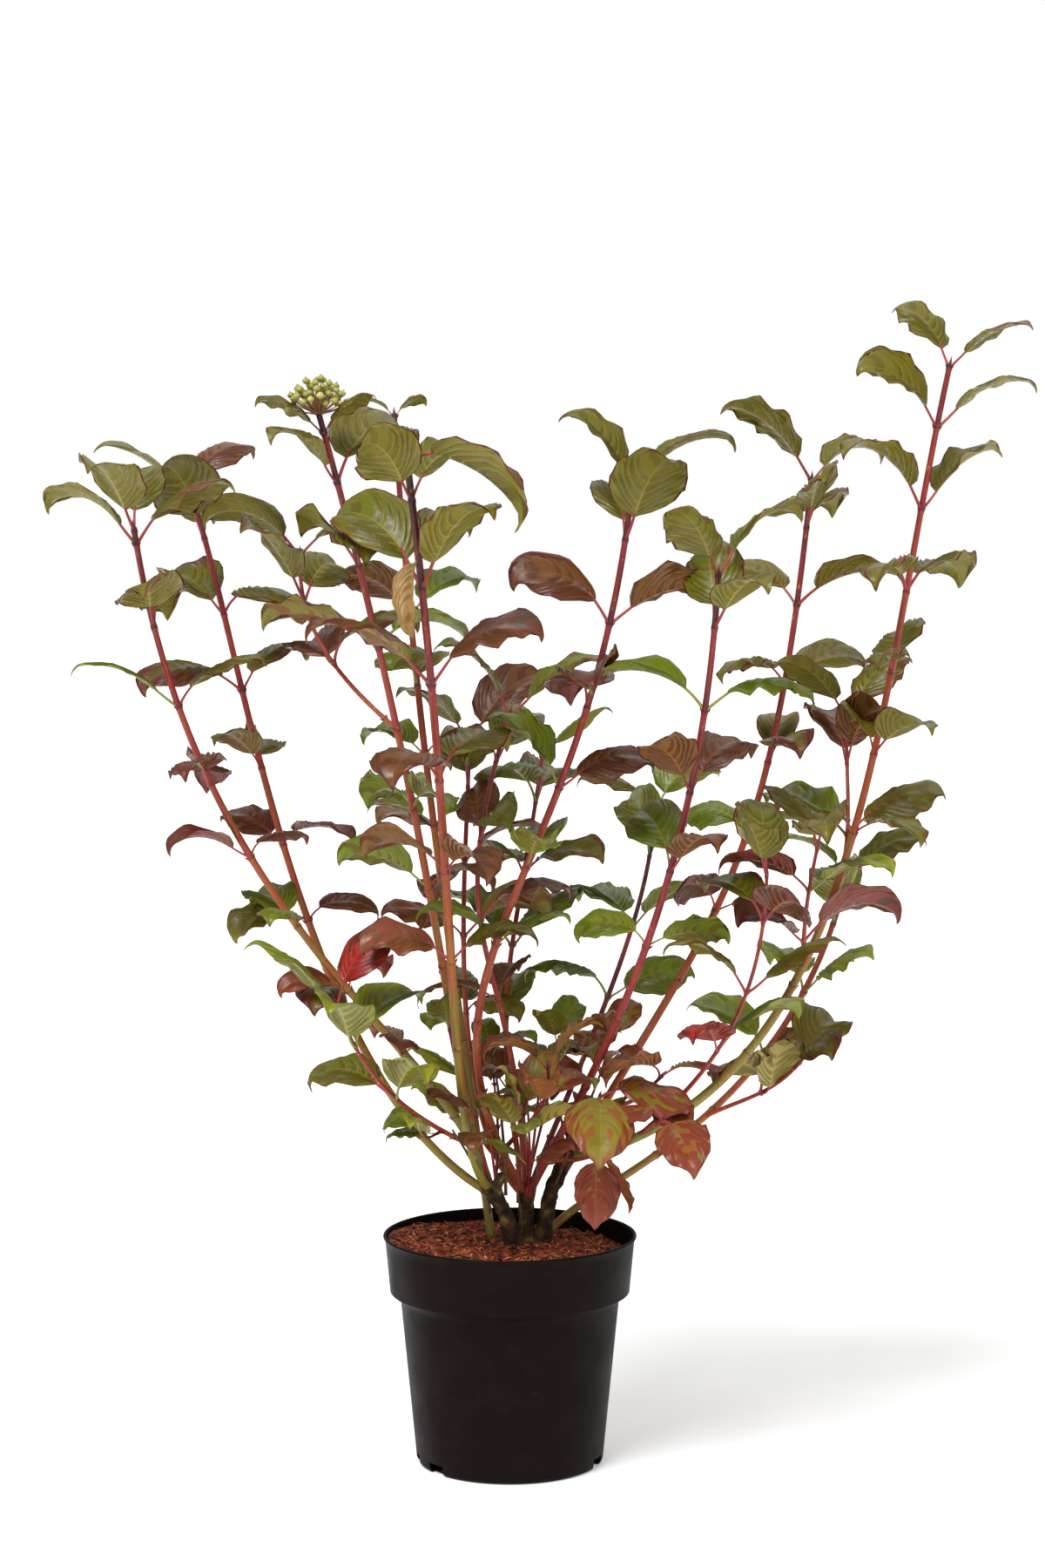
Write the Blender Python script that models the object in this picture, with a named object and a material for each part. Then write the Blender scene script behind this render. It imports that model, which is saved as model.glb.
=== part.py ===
"""A red-stemmed garden dogwood in a round nursery pot.

Metres, +Z up, the front towards -Y. The origin is the centre of the pot's flat underside.

The shrub is a stool of three short trunks, with canes that fan out from it. Every limb is one
tapering tube round a cubic curve, given by its foot, its tip and how far it leans at both. A
cane has a bare foot, which is a solid of its own, and then leafy lengths, each one solid: a stem
with opposite leaves. The places of the leaves follow one seeded rule, which turns or shrinks a
leaf that would touch anything, and leaves it out where that doesn't help.
"""

import math
import random
from typing import NamedTuple

import bmesh
import bpy
import numpy as np
from mathutils import Matrix
from mathutils.bvhtree import BVHTree

# ---- the pot
POT_HEIGHT = 0.236
RIM_RADIUS = 0.1305
COLLAR_DEPTH = 0.058
COLLAR_FOOT_RADIUS = 0.1235
BODY_TOP_RADIUS = 0.1125
BODY_FOOT_RADIUS = 0.0965
POT_WALL = 0.0022
FLOOR_THICKNESS = 0.003
LIP_RADIUS = 0.0018
FOOT_ROUND = 0.005
STEP_DROP = 0.010
NOTCH_WIDTH = 0.022
NOTCH_HEIGHT = 0.011
NOTCH_REACH = (0.088, 0.110)
NOTCH_BEARINGS = (190.0, 219.0, 339.0, 8.0, 75.0, 105.0)
POT_SIDES = 40

# ---- the soil
SOIL_TOP = 0.226
SOIL_FLAT_RADIUS = 0.075
SOIL_DROP = 0.009
SOIL_LUMP = 0.0025
SOIL_LUMP_RADII = (0.108, 0.092)
SOIL_SIDES = 20

# ---- limbs
CLEARANCE = 0.0003
CUT_CLEARANCE = 0.00045
CURVE_STEPS = 24
BARE_SIDES = 7
STEM_SIDES = 6
TRUNK_SIDES = 10
BARE_STEP = 0.034
STEM_STEP = 0.090
TRUNK_STEP = 0.009
FLARE = 0.35
FLARE_LENGTH = 0.012
KNOB = 0.30
TRUNK_DOME = ((0.45, 0.80), (0.65, 0.40))
GNARL = 0.09

# ---- leaves
LEAF_LENGTH = 0.098
LEAF_WIDTH = 0.66
LEAF_THICKNESS = 0.012
LEAF_FOLD = 0.16
LEAF_ROWS = (0.30, 0.68)
WIDE_POWER = 0.6
NARROW_POWER = 0.9
PAIR_GAP = 0.084
STALK_LENGTH = 0.026
STALK_ELBOW = 0.60
STALK_RADIUS = 0.0011
STALK_SPREAD = 38.0
LEAF_CLEARANCE = 0.0014
MOST_TURN = 16.0
MOST_TILT = 15.0
MOST_ROLL = 30.0
MOST_BEND = 26.0
SIZES = (0.86, 1.10)
AGEING = 0.05
TOP_LIFT = 12
FIRST_LIFT = 8
LIFT_DROP = 4
MOST_DROP = 18
# Other ways to hang a leaf that would touch something: turned, raised (degrees), and scaled.
TRIES = (
    (0, 0, 1.0), (22, 5, 1.0), (-22, 5, 1.0), (0, 22, 0.95), (0, -25, 0.95), (38, 15, 0.9),
    (-38, 15, 0.9), (30, -25, 0.85), (-30, -25, 0.85), (0, 0, 0.68), (50, 0, 0.62), (-50, 0, 0.62),
)

# ---- the fruit
BERRIES = 11
BERRY_RADIUS = 0.0042
HEAD_RADIUS = 0.026
HEAD_RISE = 0.030
HEAD_DOME = 0.008
BERRY_STALK_RADIUS = 0.0009
BERRY_STALK_SWELL = 1.3
GOLDEN_ANGLE = math.radians(137.5)


class Limb(NamedTuple):
    """A limb of the shrub.

    foot is (x, y) on the soil, or (limb, share of its length). lean and tip_lean are degrees
    from the vertical, as (towards +X, towards +Y), and pull says how far along the chord each
    of them holds. radius is that of the foot and of the tip. Leaves grow above the share bare,
    in so many parts; a limb with no parts is a trunk. spin is the bearing of the top pair, bud
    how far below the tip it sits, top_gap how far below it the next pair is, and top_size its
    size beside the others. turn is the angle from one pair down to the next, rise how steeply a
    blade starts, and droop how far it then bends down. Angles are in degrees.
    """

    foot: tuple
    lean: tuple
    tip: tuple
    tip_lean: tuple
    pull: tuple = (0.35, 0.35)
    radius: tuple = (0.0045, 0.0029)
    bare: float = 0.0
    parts: int = 1
    spin: float = 0.0
    turn: float = 62.0
    size: float = 1.0
    bud: float = 0.004
    top_gap: float = 0.050
    top_size: float = 0.95
    rise: float = 44.0
    droop: float = 78.0


TRUNK = {"radius": (0.0082, 0.0064), "parts": 0}
THIN = {"radius": (0.0033, 0.0022)}
SHOOT = {"radius": (0.0026, 0.0017)}

LIMBS = {
    "trunk_left": Limb((0.003, -0.018), (-4, 0), (-0.021, -0.027, 0.290), (-38, -8), **TRUNK),
    "trunk_middle": Limb((0.017, 0.006), (0, 0), (0.016, 0.008, 0.276), (-2, 4), **TRUNK),
    "trunk_right": Limb((0.033, 0.004), (8, 0), (0.060, 0.015, 0.312), (36, 12), **TRUNK),
    "far_left": Limb(
        ("trunk_left", 0.97), (-14, 0), (-0.375, -0.05, 0.960), (-8, -2),
        pull=(0.20, 0.55), bare=0.16, parts=2, spin=75, turn=95, top_gap=0.014,
    ),
    "left": Limb(
        ("trunk_left", 0.82), (-64, 18), (-0.340, 0.13, 1.000), (-26, 8),
        pull=(0.30, 0.15), bare=0.24, parts=2, spin=10,
    ),
    "berry": Limb(
        ("trunk_left", 0.99), (-18, 18), (-0.185, -0.13, 1.070), (-15, -8),
        pull=(0.20, 0.55), bare=0.30, parts=2, spin=160, bud=0.022, top_size=0.58,
    ),
    "front": Limb(
        ("trunk_left", 0.90), (-48, -38), (-0.095, -0.27, 1.025), (-7, -14),
        pull=(0.10, 0.55), radius=(0.0050, 0.0034), bare=0.30, parts=2, spin=238, bud=0.045,
        size=1.14, top_gap=0.085, top_size=0.80,
    ),
    "back_left": Limb(
        (-0.019, 0.016), (-8, 4), (-0.125, 0.20, 1.085), (-4, 13),
        pull=(0.30, 0.40), bare=0.32, parts=2, spin=20, size=0.9, top_size=0.42, top_gap=0.07,
    ),
    "centre": Limb(
        ("trunk_middle", 0.96), (-28, -30), (0.120, -0.12, 1.000), (6, 0),
        pull=(0.45, 0.55), bare=0.30, parts=2, spin=5, turn=90,
    ),
    "middle": Limb(
        ("trunk_middle", 0.98), (-2, 4), (0.000, 0.06, 0.770), (17, 5),
        pull=(0.55, 0.55), bare=0.22, spin=170, **THIN,
    ),
    "middle_back": Limb(
        ("trunk_middle", 0.90), (-50, 22), (-0.045, 0.20, 0.735), (-1, 12),
        pull=(0.25, 0.20), bare=0.22, spin=30, **THIN,
    ),
    "centre_back": Limb(
        ("trunk_middle", 0.94), (-12, 26), (0.035, 0.24, 0.715), (8, 16),
        pull=(0.45, 0.45), bare=0.22, spin=0, **THIN,
    ),
    "thin_right": Limb(
        ("trunk_middle", 0.85), (22, 26), (0.155, 0.20, 0.660), (-1, 10),
        pull=(0.30, 0.25), bare=0.22, spin=200, **THIN,
    ),
    "right": Limb(
        ("trunk_middle", 0.80), (16, -20), (0.200, -0.19, 0.915), (2, -12),
        pull=(0.10, 0.55), bare=0.34, parts=2, spin=40,
    ),
    "back_right": Limb(
        ("trunk_right", 0.55), (32, 24), (0.320, 0.15, 1.015), (6, 6),
        pull=(0.45, 0.55), bare=0.34, parts=2, spin=20,
    ),
    "far_right": Limb(
        ("trunk_right", 0.97), (78, -6), (0.445, 0.0, 1.125), (12, 0),
        pull=(0.35, 0.40), radius=(0.0050, 0.0028), bare=0.36, parts=2, spin=150, turn=28,
        top_gap=0.062, top_size=0.84,
    ),
    "low_right": Limb(
        (0.040, 0.046), (40, 24), (0.370, 0.24, 0.580), (15, 10),
        pull=(0.15, 0.55), bare=0.46, spin=15,
    ),
    "arch_twig": Limb(
        ("far_right", 0.40), (30, 20), (0.355, 0.11, 0.765), (3, 10), bare=0.2, spin=30, **SHOOT
    ),
    "arch_twig_front": Limb(
        ("far_right", 0.34), (0, -30), (0.305, -0.10, 0.645), (11, -10), bare=0.2, spin=100, **SHOOT
    ),
    "red_shoot": Limb(
        ("far_right", 0.08), (46, -30), (0.250, -0.16, 0.625), (0, -10), bare=0.3, spin=60, **SHOOT
    ),
    "low_twig": Limb(
        ("low_right", 0.41), (60, -30), (0.305, 0.10, 0.395), (40, 0), bare=0.3, spin=80, **SHOOT
    ),
    "low_left": Limb(
        ("far_left", 0.06), (-62, -30), (-0.170, -0.14, 0.495), (-18, -10), bare=0.25, spin=10, **SHOOT
    ),
    "low_back": Limb(
        ("back_right", 0.12), (70, -20), (0.155, -0.03, 0.405), (41, -10), bare=0.3, spin=20, turn=80,
        rise=-5, droop=58, **SHOOT,
    ),
    "low_front": Limb(
        ("centre", 0.08), (30, -46), (0.038, -0.115, 0.430), (-8, -14),
        bare=0.25, spin=200, size=0.72, **SHOOT,
    ),
    "low_middle": Limb(
        ("middle_back", 0.10), (-40, -22), (-0.062, -0.030, 0.455), (-12, -8),
        bare=0.25, spin=90, size=0.72, **SHOOT,
    ),
    "rim_twig": Limb(
        ("right", 0.07), (55, -50), (0.086, -0.062, 0.330), (60, -40), bare=0.75, spin=265, turn=90,
        size=0.84, rise=-78, droop=14, **SHOOT,
    ),
    "berry_twig": Limb(
        ("berry", 0.60), (-50, 25), (-0.215, 0.03, 0.935), (2, 10), bare=0.3, spin=0, **SHOOT
    ),
}

# Leaves that hang apart from the pairs: (limb, share of its length, bearing, rise, droop, length).
LONE_LEAVES = (
    ("front", 0.985, -20, -12, 60, 0.104),
)


# ------------------------------------------------------------------ curves and surfaces


def direction(lean):
    """The unit vector that leans so many degrees towards +X and towards +Y."""
    across, back = (math.tan(math.radians(angle)) for angle in lean)
    return np.array((across, back, 1.0)) / math.hypot(across, back, 1.0)


def limb_path(foot, limb):
    """Points of the limb's cubic curve, at even steps of its parameter."""
    start, end = np.array(foot, float), np.array(limb.tip, float)
    chord = np.linalg.norm(end - start)
    first = start + direction(limb.lean) * chord * limb.pull[0]
    second = end - direction(limb.tip_lean) * chord * limb.pull[1]
    t = np.linspace(0.0, 1.0, CURVE_STEPS + 1)[:, None]
    weights = ((1 - t) ** 3, 3 * (1 - t) ** 2 * t, 3 * (1 - t) * t**2, t**3)
    return sum(weight * point for weight, point in zip(weights, (start, first, second, end)))


def distances_of(path):
    steps = np.linalg.norm(np.diff(path, axis=0), axis=1)
    return np.concatenate(([0.0], np.cumsum(steps)))


def point_at(path, distance):
    along = distances_of(path)
    return np.array([np.interp(distance, along, path[:, axis]) for axis in range(3)])


def axis_at(path, distance):
    step = 0.002
    total = distances_of(path)[-1]
    ahead = point_at(path, min(distance + step, total))
    behind = point_at(path, max(distance - step, 0.0))
    return (ahead - behind) / np.linalg.norm(ahead - behind)


def lofted(rings, tip=None):
    """Vertices and faces of a closed skin over rings of points, which may end in one tip point."""
    count, sides = len(rings), len(rings[0])
    vertices = np.concatenate(rings)
    faces = [tuple(reversed(range(sides)))]
    for low in range(0, (count - 1) * sides, sides):
        high = low + sides
        faces += [(low + i, low + (i + 1) % sides, high + (i + 1) % sides, high + i) for i in range(sides)]
    last = (count - 1) * sides
    if tip is None:
        faces.append(tuple(range(last, last + sides)))
    else:
        faces += [(last + i, last + (i + 1) % sides, count * sides) for i in range(sides)]
        vertices = np.vstack((vertices, tip))
    return vertices, faces


def rings_round(points, tangents, radii, sides):
    """A ring of points square to the tangent at each point, with no twist between them."""
    side = np.array((1.0, 0.0, 0.0)) if abs(tangents[0][0]) < 0.9 else np.array((0.0, 1.0, 0.0))
    angles = np.arange(sides) * 2 * math.pi / sides
    rings = []
    for point, tangent, radius in zip(points, tangents, radii):
        side = side - tangent * (side @ tangent)
        side = side / np.linalg.norm(side)
        up = np.cross(tangent, side)
        rings.append(point + radius * (np.outer(np.cos(angles), side) + np.outer(np.sin(angles), up)))
    return rings


def steps_between(stops, step):
    """The stops, with even steps put in wherever two of them lie further apart than one step."""
    along = [stops[0]]
    for before, after in zip(stops, stops[1:]):
        count = max(1, math.ceil((after - before) / step))
        along += [before + (after - before) * number / count for number in range(1, count + 1)]
    return along


def tube(path, along, radius, sides, grow=0.0):
    """A tapering tube with a ring at each distance along a path; radius is that of the path's ends."""
    total = distances_of(path)[-1]
    points = np.array([point_at(path, distance) for distance in along])
    tangents = [axis_at(path, distance) for distance in along]
    points[0] -= tangents[0] * grow
    points[-1] += tangents[-1] * grow
    radii = np.interp(along, (0.0, total), radius) + grow
    return lofted(rings_round(points, tangents, radii, sides))


def straight_tube(start, end, radii, sides):
    axis = (np.array(end) - start) / np.linalg.norm(np.array(end) - start)
    return lofted(rings_round(np.array((start, end)), (axis, axis), radii, sides))


# ------------------------------------------------------------------ objects


def material(name, colour, roughness):
    made = bpy.data.materials.new(name)
    made.use_nodes = True
    shader = made.node_tree.nodes["Principled BSDF"]
    shader.inputs["Base Color"].default_value = (*colour, 1.0)
    shader.inputs["Roughness"].default_value = roughness
    return made


def solid(name, vertices, faces, finish=None):
    """A mesh object whose faces all point outwards."""
    mesh = bpy.data.meshes.new(name)
    mesh.from_pydata([tuple(vertex) for vertex in vertices], [], faces)
    made = bpy.data.objects.new(name, mesh)
    bpy.context.scene.collection.objects.link(made)
    form = bmesh.new()
    form.from_mesh(mesh)
    bmesh.ops.recalc_face_normals(form, faces=form.faces)
    form.to_mesh(mesh)
    form.free()
    if finish:
        mesh.materials.append(finish)
    return made


def apply_modifiers(target):
    graph = bpy.context.evaluated_depsgraph_get()
    before = target.data
    target.data = bpy.data.meshes.new_from_object(target.evaluated_get(graph))
    target.modifiers.clear()
    bpy.data.meshes.remove(before)


def remove(objects):
    for used in list(objects):
        mesh = used.data
        bpy.data.objects.remove(used)
        bpy.data.meshes.remove(mesh)


def join(target, pieces):
    """One Boolean union of the target with a collection of pieces, which is then removed."""
    group = bpy.data.collections.new(target.name + "_pieces")
    bpy.context.scene.collection.children.link(group)
    for piece in pieces:
        bpy.context.scene.collection.objects.unlink(piece)
        group.objects.link(piece)
    union = target.modifiers.new("Union", "BOOLEAN")
    union.operation = "UNION"
    union.operand_type = "COLLECTION"
    union.collection = group
    union.solver = "EXACT"
    apply_modifiers(target)
    remove(group.objects)
    bpy.data.collections.remove(group)


def cut(target, cutters):
    for cutter in cutters:
        difference = target.modifiers.new("Cut", "BOOLEAN")
        difference.operation = "DIFFERENCE"
        difference.solver = "EXACT"
        difference.object = cutter
    apply_modifiers(target)
    remove(cutters)


def keep_piece_at(target, point):
    """Drops every loose piece of the mesh but the one that reaches nearest to the point."""
    form = bmesh.new()
    form.from_mesh(target.data)
    nearest = min(form.verts, key=lambda vertex: np.linalg.norm(np.array(vertex.co) - point))
    kept, front = {nearest}, [nearest]
    while front:
        vertex = front.pop()
        for edge in vertex.link_edges:
            other = edge.other_vert(vertex)
            if other not in kept:
                kept.add(other)
                front.append(other)
    loose = [vertex for vertex in form.verts if vertex not in kept]
    bmesh.ops.delete(form, geom=loose, context="VERTS")
    form.to_mesh(target.data)
    form.free()


# ------------------------------------------------------------------ pot and soil


def circle_arc(centre, radius, start, end, count):
    angles = np.radians(np.linspace(start, end, count))
    return [(centre[0] + radius * math.cos(a), centre[1] + radius * math.sin(a)) for a in angles]


def pot_profile():
    """(radius, height) round the pot's wall: outside from the floor up, then inside back down."""
    step_foot = POT_HEIGHT - COLLAR_DEPTH - STEP_DROP
    outside = [(0.0, 0.0)]
    outside += circle_arc((BODY_FOOT_RADIUS - FOOT_ROUND, FOOT_ROUND), FOOT_ROUND, -90, 0, 3)
    outside += [(BODY_TOP_RADIUS, step_foot), (COLLAR_FOOT_RADIUS, POT_HEIGHT - COLLAR_DEPTH)]
    lip = (RIM_RADIUS - LIP_RADIUS, POT_HEIGHT - LIP_RADIUS)
    outside += circle_arc(lip, LIP_RADIUS, -30, 180, 4)
    inside = [
        (RIM_RADIUS - POT_WALL - LIP_RADIUS / 2, POT_HEIGHT - 3 * LIP_RADIUS),
        (COLLAR_FOOT_RADIUS - POT_WALL, POT_HEIGHT - COLLAR_DEPTH),
        (BODY_TOP_RADIUS - POT_WALL, step_foot),
        (BODY_FOOT_RADIUS - POT_WALL, FLOOR_THICKNESS),
        (0.0, FLOOR_THICKNESS),
    ]
    return outside, inside


def level_ring(radius, heights, sides):
    angles = np.arange(sides) * 2 * math.pi / sides
    return np.column_stack((radius * np.cos(angles), radius * np.sin(angles), heights * np.ones(sides)))


def make_pot(plastic):
    outside, inside = pot_profile()
    wall = (outside + inside)[1:-1]
    pot = solid("pot", *lofted([level_ring(*point, POT_SIDES) for point in wall]), plastic)
    notches = []
    for number, degrees in enumerate(NOTCH_BEARINGS):
        bearing = math.radians(degrees)
        heading = np.array((math.cos(bearing), math.sin(bearing), 0.0))
        across = np.array((-heading[1], heading[0], 0.0)) * NOTCH_WIDTH / 2
        inner, outer = NOTCH_REACH
        corners = ((inner, -1), (outer, -1), (outer, 1), (inner, 1))
        square = np.array([heading * reach + across * side for reach, side in corners])
        rise = np.array((0.0, 0.0, NOTCH_HEIGHT))
        notches.append(solid(f"notch_{number}", *lofted([square - rise, square + rise])))
    cut(pot, notches)
    pot.data.shade_smooth()
    pot.data.set_sharp_from_angle(angle=math.radians(35))
    return pot


def make_soil(mix):
    """The filling of the pot, clear of its wall: flat round the stool, lower and lumpy at the wall."""
    _, inside = pot_profile()
    lumps = random.Random("soil")
    wall = [(radius - CLEARANCE, height) for radius, height in reversed(inside[:-1])]
    wall[0] = (wall[0][0], wall[0][1] + CLEARANCE)
    edge = SOIL_TOP - SOIL_DROP
    (low_radius, low), (rim_radius, rim) = wall[-2:]
    edge_radius = low_radius + (rim_radius - low_radius) * (edge - low) / (rim - low)
    wall[-1] = (edge_radius, edge)
    rings = [level_ring(*point, SOIL_SIDES) for point in wall]
    for radius in SOIL_LUMP_RADII:
        height = SOIL_TOP - SOIL_DROP * (radius - SOIL_FLAT_RADIUS) / (edge_radius - SOIL_FLAT_RADIUS)
        bumps = np.array([lumps.uniform(-SOIL_LUMP, 0.0) for _ in range(SOIL_SIDES)])
        rings.append(level_ring(radius, height + bumps, SOIL_SIDES))
    rings.append(level_ring(SOIL_FLAT_RADIUS, SOIL_TOP, SOIL_SIDES))
    return solid("soil", *lofted(rings), mix)


# ------------------------------------------------------------------ limbs


def foot_point(limb, paths):
    """Where the limb starts: on the soil, or on the axis of the limb that carries it."""
    if not isinstance(limb.foot[0], str):
        return (*limb.foot, SOIL_TOP + CLEARANCE)
    carrier, share = limb.foot
    return point_at(paths[carrier], distances_of(paths[carrier])[-1] * share)


def trunk_skin(name, path, radius, grow=0.0):
    """A gnarled trunk: flared on the soil, flat underneath, with a knob where the canes fork."""
    total = distances_of(path)[-1]
    gnarl = random.Random(name)
    count = math.ceil(total / TRUNK_STEP)
    along = np.linspace(0.0, total, count)
    radii = np.interp(along, (0.0, total), radius)
    radii *= 1 + FLARE * np.exp(-along / FLARE_LENGTH) + KNOB * (along / total) ** 3
    points = np.array([point_at(path, distance) for distance in along])
    rings = rings_round(points, [axis_at(path, distance) for distance in along], radii, TRUNK_SIDES)
    tip_axis = axis_at(path, total)
    for rise, share in TRUNK_DOME:
        rings.append(points[-1] + tip_axis * radii[-1] * rise + (rings[count - 1] - points[-1]) * share)
    centres = list(points) + [ring.mean(axis=0) for ring in rings[count:]]
    skin = []
    for ring, centre in zip(rings, centres):
        swell = np.array([1 + gnarl.uniform(-GNARL, GNARL) for _ in ring])[:, None]
        spoke = (ring - centre) * swell
        spoke += spoke / np.linalg.norm(spoke, axis=1)[:, None] * grow
        skin.append(centre + spoke)
    for number in range(count - 1, len(skin)):
        skin[number] = skin[number] + tip_axis * grow
    skin[0][:, 2] = path[0][2]
    return lofted(skin)


def grounded(skin, sides, height):
    """Sets a tube's first ring level on the soil."""
    vertices, faces = skin
    vertices[:sides, 2] = height
    return vertices, faces


def is_shoot(limb):
    """Whether a limb grows from a cane, and not from a trunk or the soil."""
    return isinstance(limb.foot[0], str) and LIMBS[limb.foot[0]].parts > 0


def pairs_of(limb, total):
    """How far along the limb each pair of leaves sits, from the tip down."""
    places = []
    place, gap = total - limb.bud, limb.top_gap
    while place > limb.bare * total:
        places.append(place)
        place -= gap
        gap = PAIR_GAP * limb.size
    return places


def lengths_of(name, limb, total):
    """(node, start, end, leafy) of each solid of a limb, from its foot up."""
    if limb.parts == 0:
        return [(name, 0.0, total, False)]
    places = pairs_of(limb, total)[::-1]
    starts = [limb.bare * total]
    for part in range(1, limb.parts):
        first = round(len(places) * part / limb.parts)
        starts.append((places[first - 1] + places[first]) / 2)
    ends = [start - CLEARANCE for start in starts[1:]] + [total]
    if is_shoot(limb):
        return [(f"{name}_leaves", 0.0, ends[0], True)]
    cane = (f"{name}_cane", 0.0, starts[0] - CLEARANCE, False)
    names = [f"{name}_leaves_{part + 1}" for part in range(limb.parts)]
    return [cane] + [(node, start, end, True) for node, start, end in zip(names, starts, ends)]


def length_skin(name, limb, path, length, grow=0.0):
    """Vertices and faces of one length of a limb, without its leaves."""
    _, start, end, leafy = length
    if limb.parts == 0:
        return trunk_skin(name, path, limb.radius, grow)
    if leafy:
        places = [place for place in pairs_of(limb, distances_of(path)[-1])[::-1] if start < place < end]
        return tube(path, steps_between([start, *places, end], STEM_STEP), limb.radius, STEM_SIDES, grow)
    skin = tube(path, steps_between([start, end], BARE_STEP), limb.radius, BARE_SIDES, grow)
    if isinstance(limb.foot[0], str):
        return skin
    return grounded(skin, BARE_SIDES, SOIL_TOP + CLEARANCE)


# ------------------------------------------------------------------ leaves


class Leaf(NamedTuple):
    """A leaf: the point of its stem's axis that it grows from, how its stalk leaves, and its blade."""

    node: np.ndarray
    out: np.ndarray
    bearing: float
    rise: float
    droop: float
    roll: float
    length: float


def outline(share):
    """Half width of the blade, as a share of its widest, at a share of its length."""
    widest = WIDE_POWER / (WIDE_POWER + NARROW_POWER)
    shape = share**WIDE_POWER * (1 - share) ** NARROW_POWER
    return shape / (widest**WIDE_POWER * (1 - widest) ** NARROW_POWER)


def stalk_ring(centre, ahead, across, grow):
    """The four corners of a leaf stalk, square to the way it runs."""
    ahead = ahead / np.linalg.norm(ahead)
    side = across - ahead * (across @ ahead)
    side *= (STALK_RADIUS + grow) / np.linalg.norm(side)
    normal = np.cross(ahead, side)
    return np.array((centre + side, centre + normal, centre - side, centre - normal))


def leaf_skin(leaf, grow=0.0, rooted=True):
    """A stalk that bends at its elbow, and a folded blade that arches down from its base to its tip."""
    heading = np.array((math.cos(leaf.bearing), math.sin(leaf.bearing), 0.0))
    across = np.array((-heading[1], heading[0], 0.0))
    up = np.array((0.0, 0.0, 1.0))
    stalk = STALK_LENGTH * leaf.length / LEAF_LENGTH
    elbow = leaf.node + leaf.out * stalk * STALK_ELBOW
    start = math.cos(leaf.rise) * heading + math.sin(leaf.rise) * up
    base = elbow + start * stalk * (1 - STALK_ELBOW)
    shares = np.array((0.0, *LEAF_ROWS, 1.0))
    angles = leaf.rise - leaf.droop * shares
    ahead = (math.sin(leaf.rise) - np.sin(angles)) / leaf.droop * leaf.length
    above = (np.cos(angles) - math.cos(leaf.rise)) / leaf.droop * leaf.length
    centres = base + np.outer(ahead, heading) + np.outer(above, up)
    normals = np.outer(-np.sin(angles), heading) + np.outer(np.cos(angles), up)
    sides = across * math.cos(leaf.roll) + normals * math.sin(leaf.roll)
    normals = normals * math.cos(leaf.roll) - across * math.sin(leaf.roll)
    half = outline(shares) * leaf.length * LEAF_WIDTH / 2
    half[0] = STALK_RADIUS
    lift = LEAF_FOLD * half
    lift[0] = 0.0
    thick = np.full(len(shares), LEAF_THICKNESS * leaf.length / 2 + grow)
    thick[0] = STALK_RADIUS + grow
    half = half + grow
    rings = [
        np.array((
            centre + side * wide + normal * high,
            centre + normal * deep,
            centre - side * wide + normal * high,
            centre - normal * deep,
        ))
        for centre, side, normal, wide, high, deep in zip(centres, sides, normals, half, lift, thick)
    ]
    rings = [stalk_ring(elbow, leaf.out + start, across, grow)] + rings[:-1]
    if rooted:
        rings = [stalk_ring(leaf.node, leaf.out, across, grow)] + rings
    return lofted(rings, centres[-1] + (centres[-1] - centres[-2]) / leaf.length * grow)


def leaf_of(limb, node, axis, bearing, rise, size):
    """The leaf at a node: its bearing and rise are degrees, and its stalk leaves the stem at a slant."""
    angle = math.radians(bearing)
    spread = math.radians(STALK_SPREAD)
    square = np.array((math.cos(angle), math.sin(angle), 0.0))
    square = square - axis * (square @ axis)
    square /= np.linalg.norm(square)
    out = square * math.sin(spread) + axis * math.cos(spread)
    ahead = math.atan2(out[1] + square[1], out[0] + square[0])
    length = LEAF_LENGTH * limb.size * size
    return Leaf(node, out, ahead, math.radians(rise), math.radians(limb.droop), 0.0, length)


class Space:
    """What is already in place: who owns it, its tree of triangles and its box."""

    def __init__(self):
        self.taken = []

    def add(self, owner, skin):
        vertices, faces = skin
        tree = BVHTree.FromPolygons([tuple(vertex) for vertex in vertices], faces)
        self.taken.append((owner, tree, vertices.min(axis=0), vertices.max(axis=0)))

    def meets(self, skin, owners):
        vertices, faces = skin
        low, high = vertices.min(axis=0), vertices.max(axis=0)
        near = [
            tree
            for owner, tree, lowest, highest in self.taken
            if owners(owner) and (lowest <= high).all() and (highest >= low).all()
        ]
        if not near:
            return False
        form = BVHTree.FromPolygons([tuple(vertex) for vertex in vertices], faces)
        return any(form.overlap(tree) for tree in near)

    def has_room_for(self, leaf, limb_name):
        """Whether a leaf stays clear: its root may lie in its own limb, and in nothing else."""
        outside = leaf_skin(leaf, LEAF_CLEARANCE, rooted=False)
        whole = leaf_skin(leaf, LEAF_CLEARANCE)
        return not self.meets(outside, lambda owner: owner == limb_name) and not self.meets(
            whole, lambda owner: owner != limb_name
        )


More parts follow.
